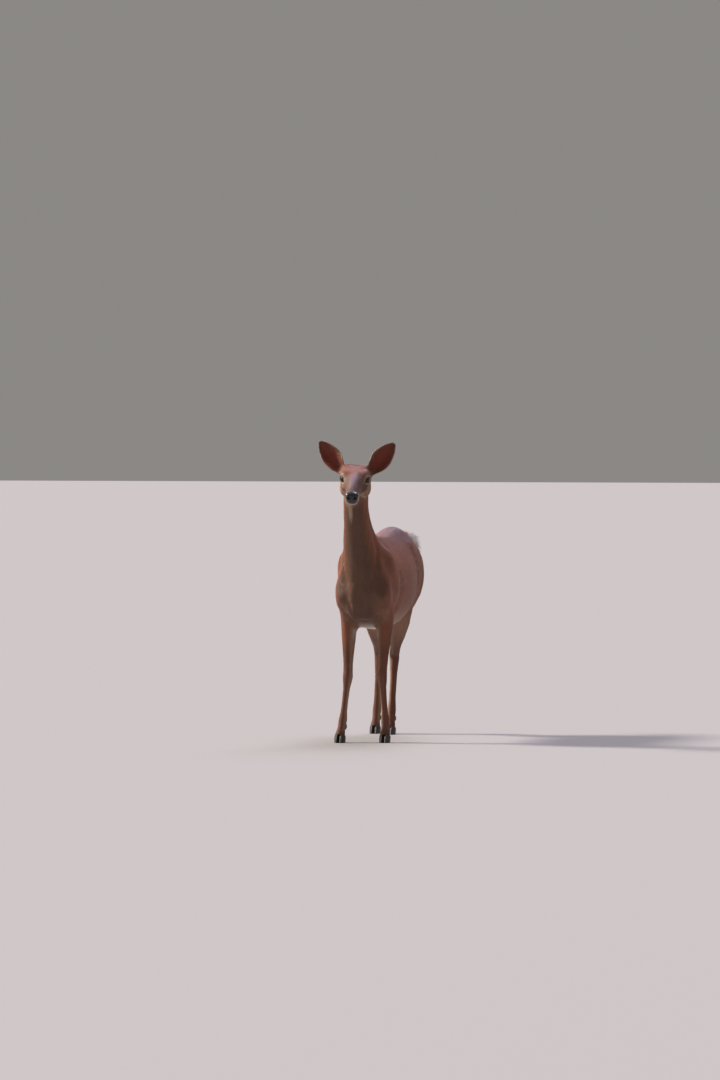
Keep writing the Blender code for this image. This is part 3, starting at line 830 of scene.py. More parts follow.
FOLDS = (
    # down the middle of the breast
    Fold(((0.004, -0.40, 0.70), (0.002, -0.42, 0.62), (0.0, -0.40, 0.54), (0.0, -0.36, 0.48)),
         depth=0.0040, width=0.020, both_sides=False),
    # between the breast and the shoulder
    Fold(((0.056, -0.35, 0.81), (0.060, -0.38, 0.72), (0.058, -0.41, 0.64), (0.050, -0.41, 0.54)),
         depth=0.0062, width=0.017),
    # the ridge of the breast muscle
    Fold(((0.046, -0.40, 0.68), (0.044, -0.42, 0.60), (0.040, -0.40, 0.54)),
         depth=-0.0015, width=0.024),
    # the ridge of the upper arm
    Fold(((0.105, -0.32, 0.70), (0.108, -0.33, 0.62), (0.100, -0.32, 0.56)),
         depth=-0.0035, width=0.022),
    # the crease in front of the armpit
    Fold(((0.020, -0.34, 0.475), (0.045, -0.345, 0.495), (0.075, -0.34, 0.525), (0.100, -0.31, 0.555)),
         depth=0.0055, width=0.011),
    # behind the shoulder blade
    Fold(((0.075, -0.16, 0.84), (0.115, -0.15, 0.75), (0.130, -0.15, 0.66), (0.118, -0.17, 0.57)),
         depth=0.0070, width=0.020),
    # the ridge along the back of the shoulder
    Fold(((0.095, -0.20, 0.82), (0.125, -0.20, 0.72), (0.130, -0.21, 0.64)),
         depth=-0.0030, width=0.024),
    # behind the elbow
    Fold(((0.118, -0.17, 0.57), (0.100, -0.19, 0.53), (0.078, -0.22, 0.50)),
         depth=0.0045, width=0.010),
    # down the front of the neck's root
    Fold(((0.030, -0.40, 0.93), (0.036, -0.36, 0.85), (0.046, -0.36, 0.76)),
         depth=0.0030, width=0.013),
    # the fold of the flank, in front of the thigh
    Fold(((0.115, 0.220, 0.76), (0.128, 0.205, 0.68), (0.128, 0.200, 0.61), (0.105, 0.200, 0.54)),
         depth=0.0055, width=0.022),
    # the ridge of the hip bone
    Fold(((0.066, 0.275, 0.865), (0.080, 0.285, 0.850), (0.092, 0.300, 0.830)),
         depth=-0.0040, width=0.026),
    # down the ham
    Fold(((0.070, 0.500, 0.78), (0.080, 0.480, 0.68), (0.070, 0.470, 0.58)),
         depth=0.0030, width=0.018),
    # along the forearm
    Fold(((0.092, -0.20, 0.47), (0.094, -0.22, 0.40), (0.088, -0.235, 0.33)),
         depth=0.0022, width=0.007),
    # in front of the tendon above the hock
    Fold(((0.100, 0.35, 0.46), (0.085, 0.40, 0.40), (0.075, 0.44, 0.34)),
         depth=0.0030, width=0.008),
)
FACE_FOLDS = (
    # the mouth line
    Fold(((0, -0.1585, -0.0470), (0.012, -0.153, -0.0475), (0.020, -0.135, -0.0490),
          (0.024, -0.112, -0.0500), (0.026, -0.092, -0.0465)),
         depth=0.0022, width=0.0013, steps=24),
    # the parting of the upper lip
    Fold(((0, -0.1640, -0.0300), (0, -0.1620, -0.0400), (0, -0.1590, -0.0465)),
         depth=0.0010, width=0.0011),
    # the ridge of the brow
    Fold(((0.0285, -0.030, 0.0150), (0.036, -0.012, 0.0215), (0.048, 0.006, 0.0230)),
         depth=-0.0012, width=0.006, steps=16),
)


@dataclass(frozen=True)
class Nostril:
    """One nostril: its path in the head's frame, and its half width and depth at three marks along it."""

    path: tuple[Triple, ...] = (
        (0.0105, -0.160, -0.0235),
        (0.0150, -0.158, -0.0225),
        (0.0195, -0.153, -0.0190),
        (0.0215, -0.147, -0.0145),
    )
    marks: Triple = (0, 14, 36)
    widths: Triple = (0.0036, 0.0044, 0.0014)
    depths: Triple = (0.0075, 0.0085, 0.0025)
    wing: float = 0.0011

    def sink(self, points: Array) -> Array:
        """Works out how deep the skin sinks in the nostril and how far its wing rises round it.

        Args:
            points: Places in the head's frame, with x counted outwards.

        Returns:
            A depth for each place, below zero on the wing.
        """
        spot, reach = nearest(points, curve(self.path, 12))
        wide = np.interp(spot, self.marks, self.widths)
        hole = np.interp(spot, self.marks, self.depths) * ramp(reach, wide * 1.35, wide * 0.55)
        wing = ramp(reach, wide * 2.6, wide * 1.5) * ramp(reach, wide * 1.2, wide * 1.5)
        return hole - self.wing * wing * (points[:, 0] > 0.008)


@dataclass(frozen=True)
class Depths:
    """How deep the skin lies under the outline of the coat."""

    trunk: float = 0.0024
    belly_more: float = 0.0016
    neck: float = 0.0024
    muzzle: float = 0.0009
    crown_more: float = 0.0014
    leg: float = 0.0012
    thigh_more: float = 0.0010
    hem_less: float = 0.0006
    tail: float = 0.0020
    ear: float = 0.0006


@dataclass
class Surface:
    """What is known at each vertex of the finished skin."""

    points: Array
    normals: Array
    shares: Shares
    bare: Array
    colour: Array
    hollow: Array


@dataclass
class Skin:
    """One closed skin in place of the flesh, inside it by the coat's depth.

    The hams and the seat are smoothed further. Each round of finer faces takes in what lies within its first
    number of an eye, and what lies ahead of its second number on the muzzle.
    """

    head: Head
    eyes: tuple[Eye, ...]
    ears: tuple[Ear, ...]
    tail: Tail
    markings: Markings
    voxel: float = 0.0024
    faces: int = 104000
    rounds: int = 46
    mend_rounds: int = 140
    flesh_overlap: float = 0.0006
    eye_overlap: float = 0.0012
    ham: Spot = Spot((0.075, 0.462, 0.515), (0.075, 0.055, 0.065), 0.6)
    seat: Spot = Spot((0.010, 0.530, 0.700), (0.140, 0.060, 0.100), 0.6)
    finer: tuple[tuple[float, float], ...] = ((0.036, -0.096), (0.029, -0.132))
    nostril: Nostril = Nostril()
    depths: Depths = Depths()

    def joined(self) -> bpy.types.Object:
        """Joins copies of the flesh nodes, a little grown so that their cuts close, and remeshes them.

        Returns:
            The raw skin.
        """
        whole = bmesh.new()
        grown = [(name, self.flesh_overlap) for name in FLESH]
        grown += [(f"eye_{way}", self.eye_overlap) for way in SIDES]
        for name, grow in grown:
            piece = clean_copy(name, grow)
            mesh = bpy.data.meshes.new("piece")
            piece.to_mesh(mesh)
            piece.free()
            whole.from_mesh(mesh)
            bpy.data.meshes.remove(mesh)
        mesh = bpy.data.meshes.new("skin")
        whole.to_mesh(mesh)
        whole.free()
        made = bpy.data.objects.new("skin", mesh)
        bpy.context.scene.collection.objects.link(made)
        remesh = made.modifiers.new("Remesh", "REMESH")
        remesh.mode = "VOXEL"
        remesh.voxel_size = self.voxel
        bake_modifiers(made)
        return made

    def ease(self, mesh: bpy.types.Mesh) -> None:
        """Smooths away the flat faces of the solids, gives back their bulk and smooths the rump further.

        Args:
            mesh: The raw skin.
        """
        start = read_points(mesh)
        local = self.head.enter(start)
        thin = ramp(local[:, 2], 0.045, 0.065)
        foot = ramp(start[:, 2], 0.075, 0.045)
        leg = ramp(start[:, 2], 0.50, 0.40)
        share = (0.5 * (1 - 0.78 * thin) * (1 - 0.75 * foot) * (1 - 0.35 * leg))[:, None]
        net = Net(mesh)
        points = start.copy()
        for _ in range(self.rounds):
            points += (net.average(points) - points) * share
        write_points(mesh, points)
        normals = read_normals(mesh)
        lost = net.spread(((start - points) * normals).sum(axis=1), self.rounds // 2)
        points = points + normals * lost[:, None]
        hams = sum(self.ham.share(points * (side, 1, 1)) for side in SIDES.values())
        share = (0.5 * np.clip(hams + 0.7 * self.seat.share(points), 0, 1))[:, None]
        for _ in range(self.mend_rounds):
            points += (net.average(points) - points) * share
        write_points(mesh, points)

    def thinned(self, made: bpy.types.Object) -> None:
        """Keeps about the wanted number of triangles."""
        thin = made.modifiers.new("Decimate", "DECIMATE")
        thin.ratio = self.faces / (2 * len(made.data.polygons))
        thin.use_collapse_triangulate = True
        bake_modifiers(made)

    def measure_shares(self, mesh: bpy.types.Mesh, rounds: int = 10) -> Shares:
        """Finds how much each vertex belongs to each part, softened where parts meet.

        Args:
            mesh: The skin.
            rounds: How far the parts mix.

        Returns:
            A share for each vertex, by part.
        """
        owners = []
        places = []
        for number, part in enumerate(Part):
            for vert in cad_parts[part.value].data.vertices:
                places.append(vert.co)
                owners.append(number)
        tree = KDTree(len(places))
        for index, place in enumerate(places):
            tree.insert(place, index)
        tree.balance()
        found = np.array([owners[tree.find(vert.co)[1]] for vert in mesh.vertices])
        table = (found[:, None] == np.arange(len(Part))).astype(float)
        table = Net(mesh).spread(table, rounds)
        return {part: table[:, number] for number, part in enumerate(Part)}

    def depth(self, points: Array, normals: Array, shares: Shares) -> Array:
        """Works out how deep the skin lies under the coat.

        Args:
            points: Places on the outline.
            normals: The way it faces there.
            shares: How much each place belongs to each part.

        Returns:
            A depth for each place.
        """
        z = points[:, 2]
        belly = ramp(-normals[:, 2], 0.3, 0.8) * ramp(z, 0.56, 0.50)
        own = self.depths
        trunk = own.trunk + own.belly_more * belly
        local = self.head.enter(points)
        face = own.muzzle + own.crown_more * ramp(local[:, 1], -0.10, 0.06)
        leg = own.leg + own.thigh_more * ramp(z, 0.30, 0.50) - own.hem_less * ramp(z, 0.06, 0.04)
        found = shares[Part.TRUNK] * trunk + shares[Part.NECK] * own.neck + shares[Part.HEAD] * face
        found = found + shares[Part.TAIL] * own.tail
        for part in FRONT_LEGS + HIND_LEGS:
            found = found + shares[part] * leg
        for part in EARS:
            found = found + shares[part] * own.ear
        return found

    def fold(self, mesh: bpy.types.Mesh) -> None:
        """Presses the folds between the muscles into the skin.

        Args:
            mesh: The skin.
        """
        points = read_points(mesh)
        normals = read_normals(mesh)
        tree = KDTree(len(points))
        for index, place in enumerate(points):
            tree.insert(place, index)
        tree.balance()
        sink = np.zeros(len(points))
        for fold in FOLDS:
            for side in (1, -1)[: 1 + fold.both_sides]:
                line = curve(fold.path, fold.steps) * (side, 1, 1)
                sink += fold.sink(points, np.array([tree.find(place)[0] for place in line]))
        write_points(mesh, points - normals * sink[:, None])

    def refine(self, mesh: bpy.types.Mesh) -> None:
        """Gives the eyes, nose and mouth smaller faces than the rest.

        Args:
            mesh: The skin.
        """
        for reach, muzzle in self.finer:
            points = read_points(mesh)
            local = self.head.enter(points)
            wanted = (local[:, 1] < muzzle) & (np.abs(local[:, 2] + 0.03) < 0.05)
            for eye in self.eyes:
                place = eye.enter(points)
                wanted |= (np.linalg.norm(place, axis=1) < reach) & (place[:, 2] > 0.0)
            bm = bmesh.new()
            bm.from_mesh(mesh)
            bm.verts.ensure_lookup_table()
            chosen = set(np.flatnonzero(wanted).tolist())
            edges = [edge for edge in bm.edges if all(vert.index in chosen for vert in edge.verts)]
            bmesh.ops.subdivide_edges(bm, edges=edges, cuts=1, use_grid_fill=True)
            bmesh.ops.triangulate(bm, faces=[face for face in bm.faces if len(face.verts) > 3])
            bm.to_mesh(mesh)
            bm.free()
            points = read_points(mesh)
            fresh = np.zeros(len(points))
            fresh[len(wanted):] = 1
            fresh = Net(mesh).spread(fresh, 3)
            net = Net(mesh)
            for _ in range(5):
                points += (net.average(points) - points) * (0.5 * np.minimum(1, 2 * fresh))[:, None]
            write_points(mesh, points)

    def carve_face(self, mesh: bpy.types.Mesh) -> None:
        """Cuts the nostrils, the groove of the upper lip and the mouth line, and raises the brows.

        Args:
            mesh: The skin.
        """
        points = read_points(mesh)
        normals = read_normals(mesh)
        local = self.head.enter(points)
        mirrored = local * (0, 1, 1) + np.abs(local) * (1, 0, 0)
        sink = self.nostril.sink(mirrored)
        for fold in FACE_FOLDS:
            sink += fold.sink(mirrored, curve(fold.path, fold.steps))
        write_points(mesh, points - normals * sink[:, None])

    def ear_fields(self, points: Array, normals: Array, shares: Shares) -> tuple[Array, Array, Array]:
        """Measures the ears for every vertex.

        Args:
            points: Places on the skin.
            normals: The way it faces there.
            shares: How much each place belongs to each part.

        Returns:
            1 inside a cup, the share of the way to the tip, and 1 on a rim.
        """
        hollow, along, edge = (np.zeros(len(points)) for _ in range(3))
        for ear, part in zip(self.ears, EARS):
            far, across, inside = ear.measure(points, normals)
            own = shares[part] > 0.02
            hollow[own] = inside[own]
            along[own] = far[own]
            edge[own] = ramp(np.abs(across), 0.88, 0.97)[own]
        return hollow, along, edge

    def build(self) -> tuple[bpy.types.Object, Surface]:
        """Makes the skin.

        Returns:
            Its object, and what is known at each of its vertices.
        """
        made = self.joined()
        LOG.info("raw skin: %d faces", len(made.data.polygons))
        self.ease(made.data)
        self.thinned(made)
        mesh = made.data
        shares = self.measure_shares(mesh)
        points, normals = read_points(mesh), read_normals(mesh)
        points = points - normals * self.depth(points, normals, shares)[:, None]
        write_points(mesh, self.tail.slim(points, shares[Part.TAIL]))
        self.fold(mesh)
        self.refine(mesh)
        self.carve_face(mesh)
        points = read_points(mesh)
        for eye in self.eyes:
            points = eye.shape_lids(points)
        write_points(mesh, points)
        for polygon in mesh.polygons:
            polygon.use_smooth = True
        shares = self.measure_shares(mesh)
        return made, self.survey(mesh, shares)

    def survey(self, mesh: bpy.types.Mesh, shares: Shares) -> Surface:
        """Gathers what the coat needs to know, and stores the markings on the skin.

        Args:
            mesh: The skin.
            shares: How much each vertex belongs to each part.

        Returns:
            What is known at each vertex.
        """
        points, normals = read_points(mesh), read_normals(mesh)
        hollow, along, edge = self.ear_fields(points, normals, shares)
        nose = self.markings.nose(points, normals) * shares[Part.HEAD]
        bare = nose.copy()
        for eye in self.eyes:
            local = eye.enter(points)
            ring = eye.ring(local)
            near = (np.linalg.norm(local, axis=1) < eye.reach) & (local[:, 2] > -0.004)
            bare = np.maximum(bare, near * ramp(ring, 1.28, 1.16))
        colour = self.markings.body(points, normals)
        colour = self.markings.throat(colour, points, normals, shares[Part.NECK] + shares[Part.HEAD])
        colour = self.markings.legs(colour, points, normals, shares)
        colour = self.markings.face(colour, points, normals, shares[Part.HEAD])
        # the face's colours cover part of the throat, so it is painted again over them
        colour = self.markings.throat(colour, points, normals, shares[Part.NECK])
        colour = self.markings.ears(colour, hollow, along, edge, shares)
        write_value(mesh, "Markings", "FLOAT_COLOR", colour)
        write_value(mesh, "Bare", "FLOAT", bare)
        write_value(mesh, "Wet", "FLOAT", nose)
        return Surface(points, normals, shares, bare, colour, hollow)


# -------------------------------------------------------------------------------- the coat


@dataclass(frozen=True)
class Hair:
    """How the hair of one kind of place grows, in metres."""

    length: float
    width: float
    rise: float


class Growth(Enum):
    """The kinds of hair on the doe."""

    FLANK = Hair(0.0140, 0.0014, 0.0012)
    BELLY = Hair(0.0180, 0.0016, 0.0030)
    NECK = Hair(0.0150, 0.0014, 0.0014)
    MUZZLE = Hair(0.0036, 0.0008, 0.0006)
    CROWN = Hair(0.0086, 0.0011, 0.0010)
    LEG = Hair(0.0066, 0.0010, 0.0007)
    THIGH = Hair(0.0120, 0.0013, 0.0011)
    EAR_BACK = Hair(0.0054, 0.0009, 0.0006)
    EAR_CUP = Hair(0.0060, 0.0008, 0.0007)


@dataclass
class Lay:
    """The lie and size of the hair at each vertex of the skin."""

    surface: Surface
    head: Head
    ears: tuple[Ear, ...]
    tail: Tail

    def trunk(self) -> Array:
        """Hair of the trunk: backwards, down over shoulder and haunch, and down the breast and the rump.

        Returns:
            A direction for each vertex.
        """
        x, y, z = self.surface.points.T
        sign = np.sign(x)
        up, ahead = self.surface.normals[:, 2], -self.surface.normals[:, 1]
        lie = np.tile((0.0, 1.0, -0.45), (len(x), 1))
        back = np.column_stack([0.22 * sign, np.ones(len(x)), np.full(len(x), -0.15)])
        low = ramp(z, 0.82, 0.66)
        shoulder, haunch = ramp(y, -0.12, -0.26) * low, ramp(y, 0.20, 0.36) * low
        breast = ramp(ahead, 0.2, 0.7) * ramp(y, -0.28, -0.36)
        rump = ramp(-ahead, 0.2, 0.7) * ramp(y, 0.40, 0.48)
        lie = mixed(lie, back, ramp(up, 0.2, 0.9))
        lie = mixed(lie, (0.0, 0.5, -0.9), shoulder)
        lie = mixed(lie, (0.0, 0.5, -0.9), haunch)
        lie = mixed(lie, (0.0, 1.0, -0.1), ramp(-up, 0.5, 0.9))
        lie = mixed(lie, (0.0, -0.1, -1.0), breast)
        return mixed(lie, (0.0, 0.1, -1.0), rump)

    def field(self) -> Array:
        """Blends the lie of every part and lays it on the skin.

        Returns:
            A direction for each vertex.
        """
        surface = self.surface
        points, shares = surface.points, surface.shares
        ahead = -surface.normals[:, 1]
        lie = self.trunk() * shares[Part.TRUNK][:, None]
        neck = np.tile((0.0, 0.42, -0.9), (len(points), 1))
        neck = mixed(neck, (0.0, -0.05, -1.0), ramp(ahead, 0.1, 0.8))
        lie += neck * shares[Part.NECK][:, None]
        local = self.head.enter(points)
        skull = np.column_stack([0.25 * np.sign(local[:, 0]) * ramp(local[:, 1], -0.02, 0.06),
                                 np.ones(len(points)), -0.25 * ramp(np.abs(local[:, 0]), 0.02, 0.05)])
        lie += self.head.aim(skull) * shares[Part.HEAD][:, None]
        slope = ramp(points[:, 2], 0.36, 0.46)
        for part in FRONT_LEGS:
            lie += np.array((0.0, 0.10, -1.0)) * shares[part][:, None]
        hind = np.column_stack([0 * slope, 0.10 + 0.40 * slope, -np.ones(len(slope))])
        for part in HIND_LEGS:
            lie += hind * shares[part][:, None]
        for ear, part in zip(self.ears, EARS):
            _, across, inside = ear.measure(points, surface.normals)
            own = np.column_stack([across * (0.05 + 0.25 * inside), 0 * across, np.ones(len(across))])
            lie += ear.aim(own) * shares[part][:, None]
        _, along, _, _ = self.tail.frames(points)
        lie += along * shares[Part.TAIL][:, None]
        return tangent(lie, surface.normals)

    def size(self) -> Array:
        """Blends the hair sizes of every part.

        Returns:
            Length, width and rise for each vertex.
        """
        surface = self.surface
        points, shares = surface.points, surface.shares

        def of(kind: Growth) -> Array:
            """The three sizes of one kind of hair."""
            return np.array([kind.value.length, kind.value.width, kind.value.rise])

        low = ramp(-surface.normals[:, 2], 0.35, 0.8) * ramp(points[:, 2], 0.56, 0.50)
        trunk = mixed(np.tile(of(Growth.FLANK), (len(points), 1)), of(Growth.BELLY), low)
        found = trunk * (shares[Part.TRUNK] + shares[Part.TAIL])[:, None]
        found += of(Growth.NECK) * shares[Part.NECK][:, None]
        local = self.head.enter(points)
        back = ramp(local[:, 1], -0.11, 0.09)
        face = mixed(np.tile(of(Growth.MUZZLE), (len(points), 1)), of(Growth.CROWN), back)
        found += face * shares[Part.HEAD][:, None]
        high = ramp(points[:, 2], 0.28, 0.50)
        leg = mixed(np.tile(of(Growth.LEG), (len(points), 1)), of(Growth.THIGH), high)
        for part in FRONT_LEGS + HIND_LEGS:
            found += leg * shares[part][:, None]
        ear = mixed(np.tile(of(Growth.EAR_BACK), (len(points), 1)), of(Growth.EAR_CUP), surface.hollow)
        for part in EARS:
            found += ear * shares[part][:, None]
        return found


class Region(Enum):
    """The pieces that the coat is made in."""

    HEAD = auto()
    EARS = auto()
    NECK = auto()
    CHEST = auto()
    FLANK = auto()
    RUMP = auto()
    FORELEGS = auto()
    THIGHS = auto()
    SHANKS = auto()


def scatter(weights: Array, count: int, random: np.random.Generator) -> tuple[Array, Array]:
    """Spreads roots evenly over faces.

    Args:
        weights: How much each face takes.
        count: How many roots.
        random: The source of chance.

    Returns:
        The face of each root, and its shares of that face's corners.
    """
    total = np.cumsum(weights)
    marks = (np.arange(count) + random.random(count)) / count * total[-1]
    face = np.searchsorted(total, marks).clip(0, len(weights) - 1)
    a, b = random.random((2, count))
    over = a + b > 1
    a[over], b[over] = 1 - a[over], 1 - b[over]
    return face, np.column_stack([1 - a - b, a, b])


@dataclass
class Coat:
    """The short coat: solid tufts over the skin, made in one piece for each region."""

    skin: bpy.types.Object
    surface: Surface
    lie: Array
    size: Array
    tufts: int = 226000
    most: int = 33000
    seed: int = 7
    patch: float = 0.003
    wander: float = 0.13
    sizes: tuple[float, float] = (0.75, 1.2)
    shades: tuple[float, float] = (0.86, 1.10)
    bend: float = 0.42

    def region_of(self) -> Array:
        """Sorts the skin's faces into regions.

        Returns:
            The number of its region for each face, in the order of Region, or -1.
        """
        triangles = read_triangles(self.skin.data)
        shares = {part: share[triangles].mean(axis=1) for part, share in self.surface.shares.items()}
        y, z = self.surface.points[triangles].mean(axis=1)[:, 1:].T
        order = list(Part)
        owner = np.column_stack([shares[part] for part in order]).argmax(axis=1)

        def owned(*parts: Part) -> Array:
            """Whether each face belongs to one of these parts."""
            return np.isin(owner, [order.index(part) for part in parts])

        found = np.full(len(triangles), -1)
        regions = list(Region)
        trunk = owned(Part.TRUNK)
        hind = owned(*HIND_LEGS)
        rules = {
            Region.HEAD: owned(Part.HEAD),
            Region.EARS: owned(*EARS),
            Region.NECK: owned(Part.NECK),
            Region.CHEST: trunk & (y < -0.07),
            Region.FLANK: trunk & (y >= -0.07) & (y < 0.19),
            Region.RUMP: (trunk & (y >= 0.19)) | owned(Part.TAIL),
            Region.FORELEGS: owned(*FRONT_LEGS),
            Region.THIGHS: hind & (z >= 0.40),
            Region.SHANKS: hind & (z < 0.40),
        }
        for region, rule in rules.items():
            found[rule] = regions.index(region)
        return found

    def faces_of(self, part: Part) -> Array:
        """Lists the skin's faces that belong most to one part."""
        triangles = read_triangles(self.skin.data)
        share = self.surface.shares[part][triangles].mean(axis=1)
        return np.flatnonzero(share > 0.5)

    def unwrapped(self, faces: Array) -> tuple[Array, Array]:
        """Unwraps some of the skin's faces on their own.

        Args:
            faces: Which faces.

        Returns:
            The skin's vertices at the corners of each face, and the places of those corners on the unwrap.
        """
        bm = bmesh.new()
        bm.from_mesh(self.skin.data)
        tag = bm.verts.layers.int.new("vertex")
        for vert in bm.verts:
            vert[tag] = vert.index
        chosen = set(faces.tolist())
        bmesh.ops.delete(bm, geom=[face for face in bm.faces if face.index not in chosen], context="FACES")
        mesh = bpy.data.meshes.new("unwrap")
        bm.to_mesh(mesh)
        bm.free()
        sheet = bpy.data.objects.new("unwrap", mesh)
        bpy.context.scene.collection.objects.link(sheet)
        bpy.context.view_layer.objects.active = sheet
        bpy.ops.object.mode_set(mode="EDIT")
        bpy.ops.mesh.select_all(action="SELECT")
        bpy.ops.uv.smart_project(angle_limit=math.radians(75), island_margin=0.004)
        bpy.ops.object.mode_set(mode="OBJECT")
        corners = np.empty(len(mesh.loops), np.int32)
        mesh.loops.foreach_get("vertex_index", corners)
        original = np.empty(len(mesh.vertices), np.int32)
        mesh.attributes["vertex"].data.foreach_get("value", original)
        flat = np.empty(len(mesh.loops) * 2)
        mesh.uv_layers.active.data.foreach_get("uv", flat)
        bpy.data.objects.remove(sheet)
        bpy.data.meshes.remove(mesh)
        return original[corners].reshape(-1, 3), flat.reshape(-1, 3, 2)

    def weigh(self, corners: Array) -> Array:
        """Works out how much of the coat each face takes: short, narrow hair stands closer.

        Args:
            corners: The skin's vertices at the corners of each face.

        Returns:
            A weight for each face, 0 on bare skin.
        """
        points = self.surface.points[corners]
        area = np.linalg.norm(np.cross(points[:, 1] - points[:, 0], points[:, 2] - points[:, 0]), axis=1)
        length, width, _ = self.size[corners].mean(axis=1).T
        hairy = self.surface.bare[corners].mean(axis=1) < 0.5
        return area * hairy / np.sqrt(length * width)

    def build(self, material: bpy.types.Material) -> list[bpy.types.Object]:
        """Makes the whole short coat.

        Args:
            material: What the hair is made of.

        Returns:
            The coat's pieces.
        """
        random = np.random.default_rng(self.seed)
        ground = Ground(self.skin.data, self.surface.points)
        regions = self.region_of()
        weight = self.weigh(read_triangles(self.skin.data)) * (regions >= 0)
        made = []
        for number, region in enumerate(Region):
            chosen = np.flatnonzero(regions == number)
            count = min(self.most, round(self.tufts * weight[chosen].sum() / weight.sum()))
            corners, flat = self.unwrapped(chosen)
            face, inside = scatter(self.weigh(corners), count, random)
            roots = Roots.on(self.surface, corners[face], inside, flat[face])
            lie = (self.lie[corners[face]] * inside[..., None]).sum(axis=1)
            size = (self.size[corners[face]] * inside[..., None]).sum(axis=1)
            wander = np.cross(roots.normals, lie) * random.normal(0, self.wander, len(lie))[:, None]
            size *= random.uniform(*self.sizes, len(size))[:, None]
            ways = tangent(lie + wander, roots.normals)
            locks = Locks(roots, ways, size, (self.bend,), self.patch, ground=ground)
            shade = random.uniform(*self.shades, len(lie))
            piece = place_object(f"coat_{region.name.lower()}", locks.mesh(shade, random))
            piece.data.materials.append(material)
            made.append(piece)
        return made


class Ground:
    """The finished skin as something that tufts lie on."""

    def __init__(self, mesh: bpy.types.Mesh, points: Array) -> None:
        """Keeps the skin's faces.

        Args:
            mesh: The skin.
            points: Its vertices.
        """
        self.tree = BVHTree.FromPolygons(points.tolist(), read_triangles(mesh).tolist())

    def settle(self, points: Array, normals: Array, heights: Array, reach: float = 0.012) -> Array:
        """Moves places to a height above the nearest skin that faces the same way.

        Args:
            points: The places.
            normals: The way the skin faces at their roots.
            heights: How high each should be.
            reach: How far away skin may be.

        Returns:
            Their new places.
        """
        moved = points.copy()
        rows = zip(points.tolist(), normals.tolist(), heights.tolist())
        for index, (point, normal, height) in enumerate(rows):
            place, facing, _, _ = self.tree.find_nearest(point, reach)
            if place is not None and facing.dot(Vector(normal)) > 0.3:
                moved[index] = Vector(point) + facing * (height - (Vector(point) - place).dot(facing))
        return moved


@dataclass
class Roots:
    """Where tufts stand."""

    places: Array
    normals: Array
    colours: Array
    flat: Array

    @classmethod
    def on(cls, surface: Surface, corners: Array, inside: Array, flat: Array) -> "Roots":
        """Reads the skin where the roots are.

        Args:
            surface: What is known of the skin.
            corners: The skin's vertices round each root.
            inside: Each root's shares of them.
            flat: Their places on the unwrap.

        Returns:
            The roots.
        """
        share = inside[..., None]
        return cls(
            (surface.points[corners] * share).sum(axis=1),
            unit((surface.normals[corners] * share).sum(axis=1)),
            (surface.colour[corners] * share).sum(axis=1),
            (flat * share).sum(axis=1),
        )


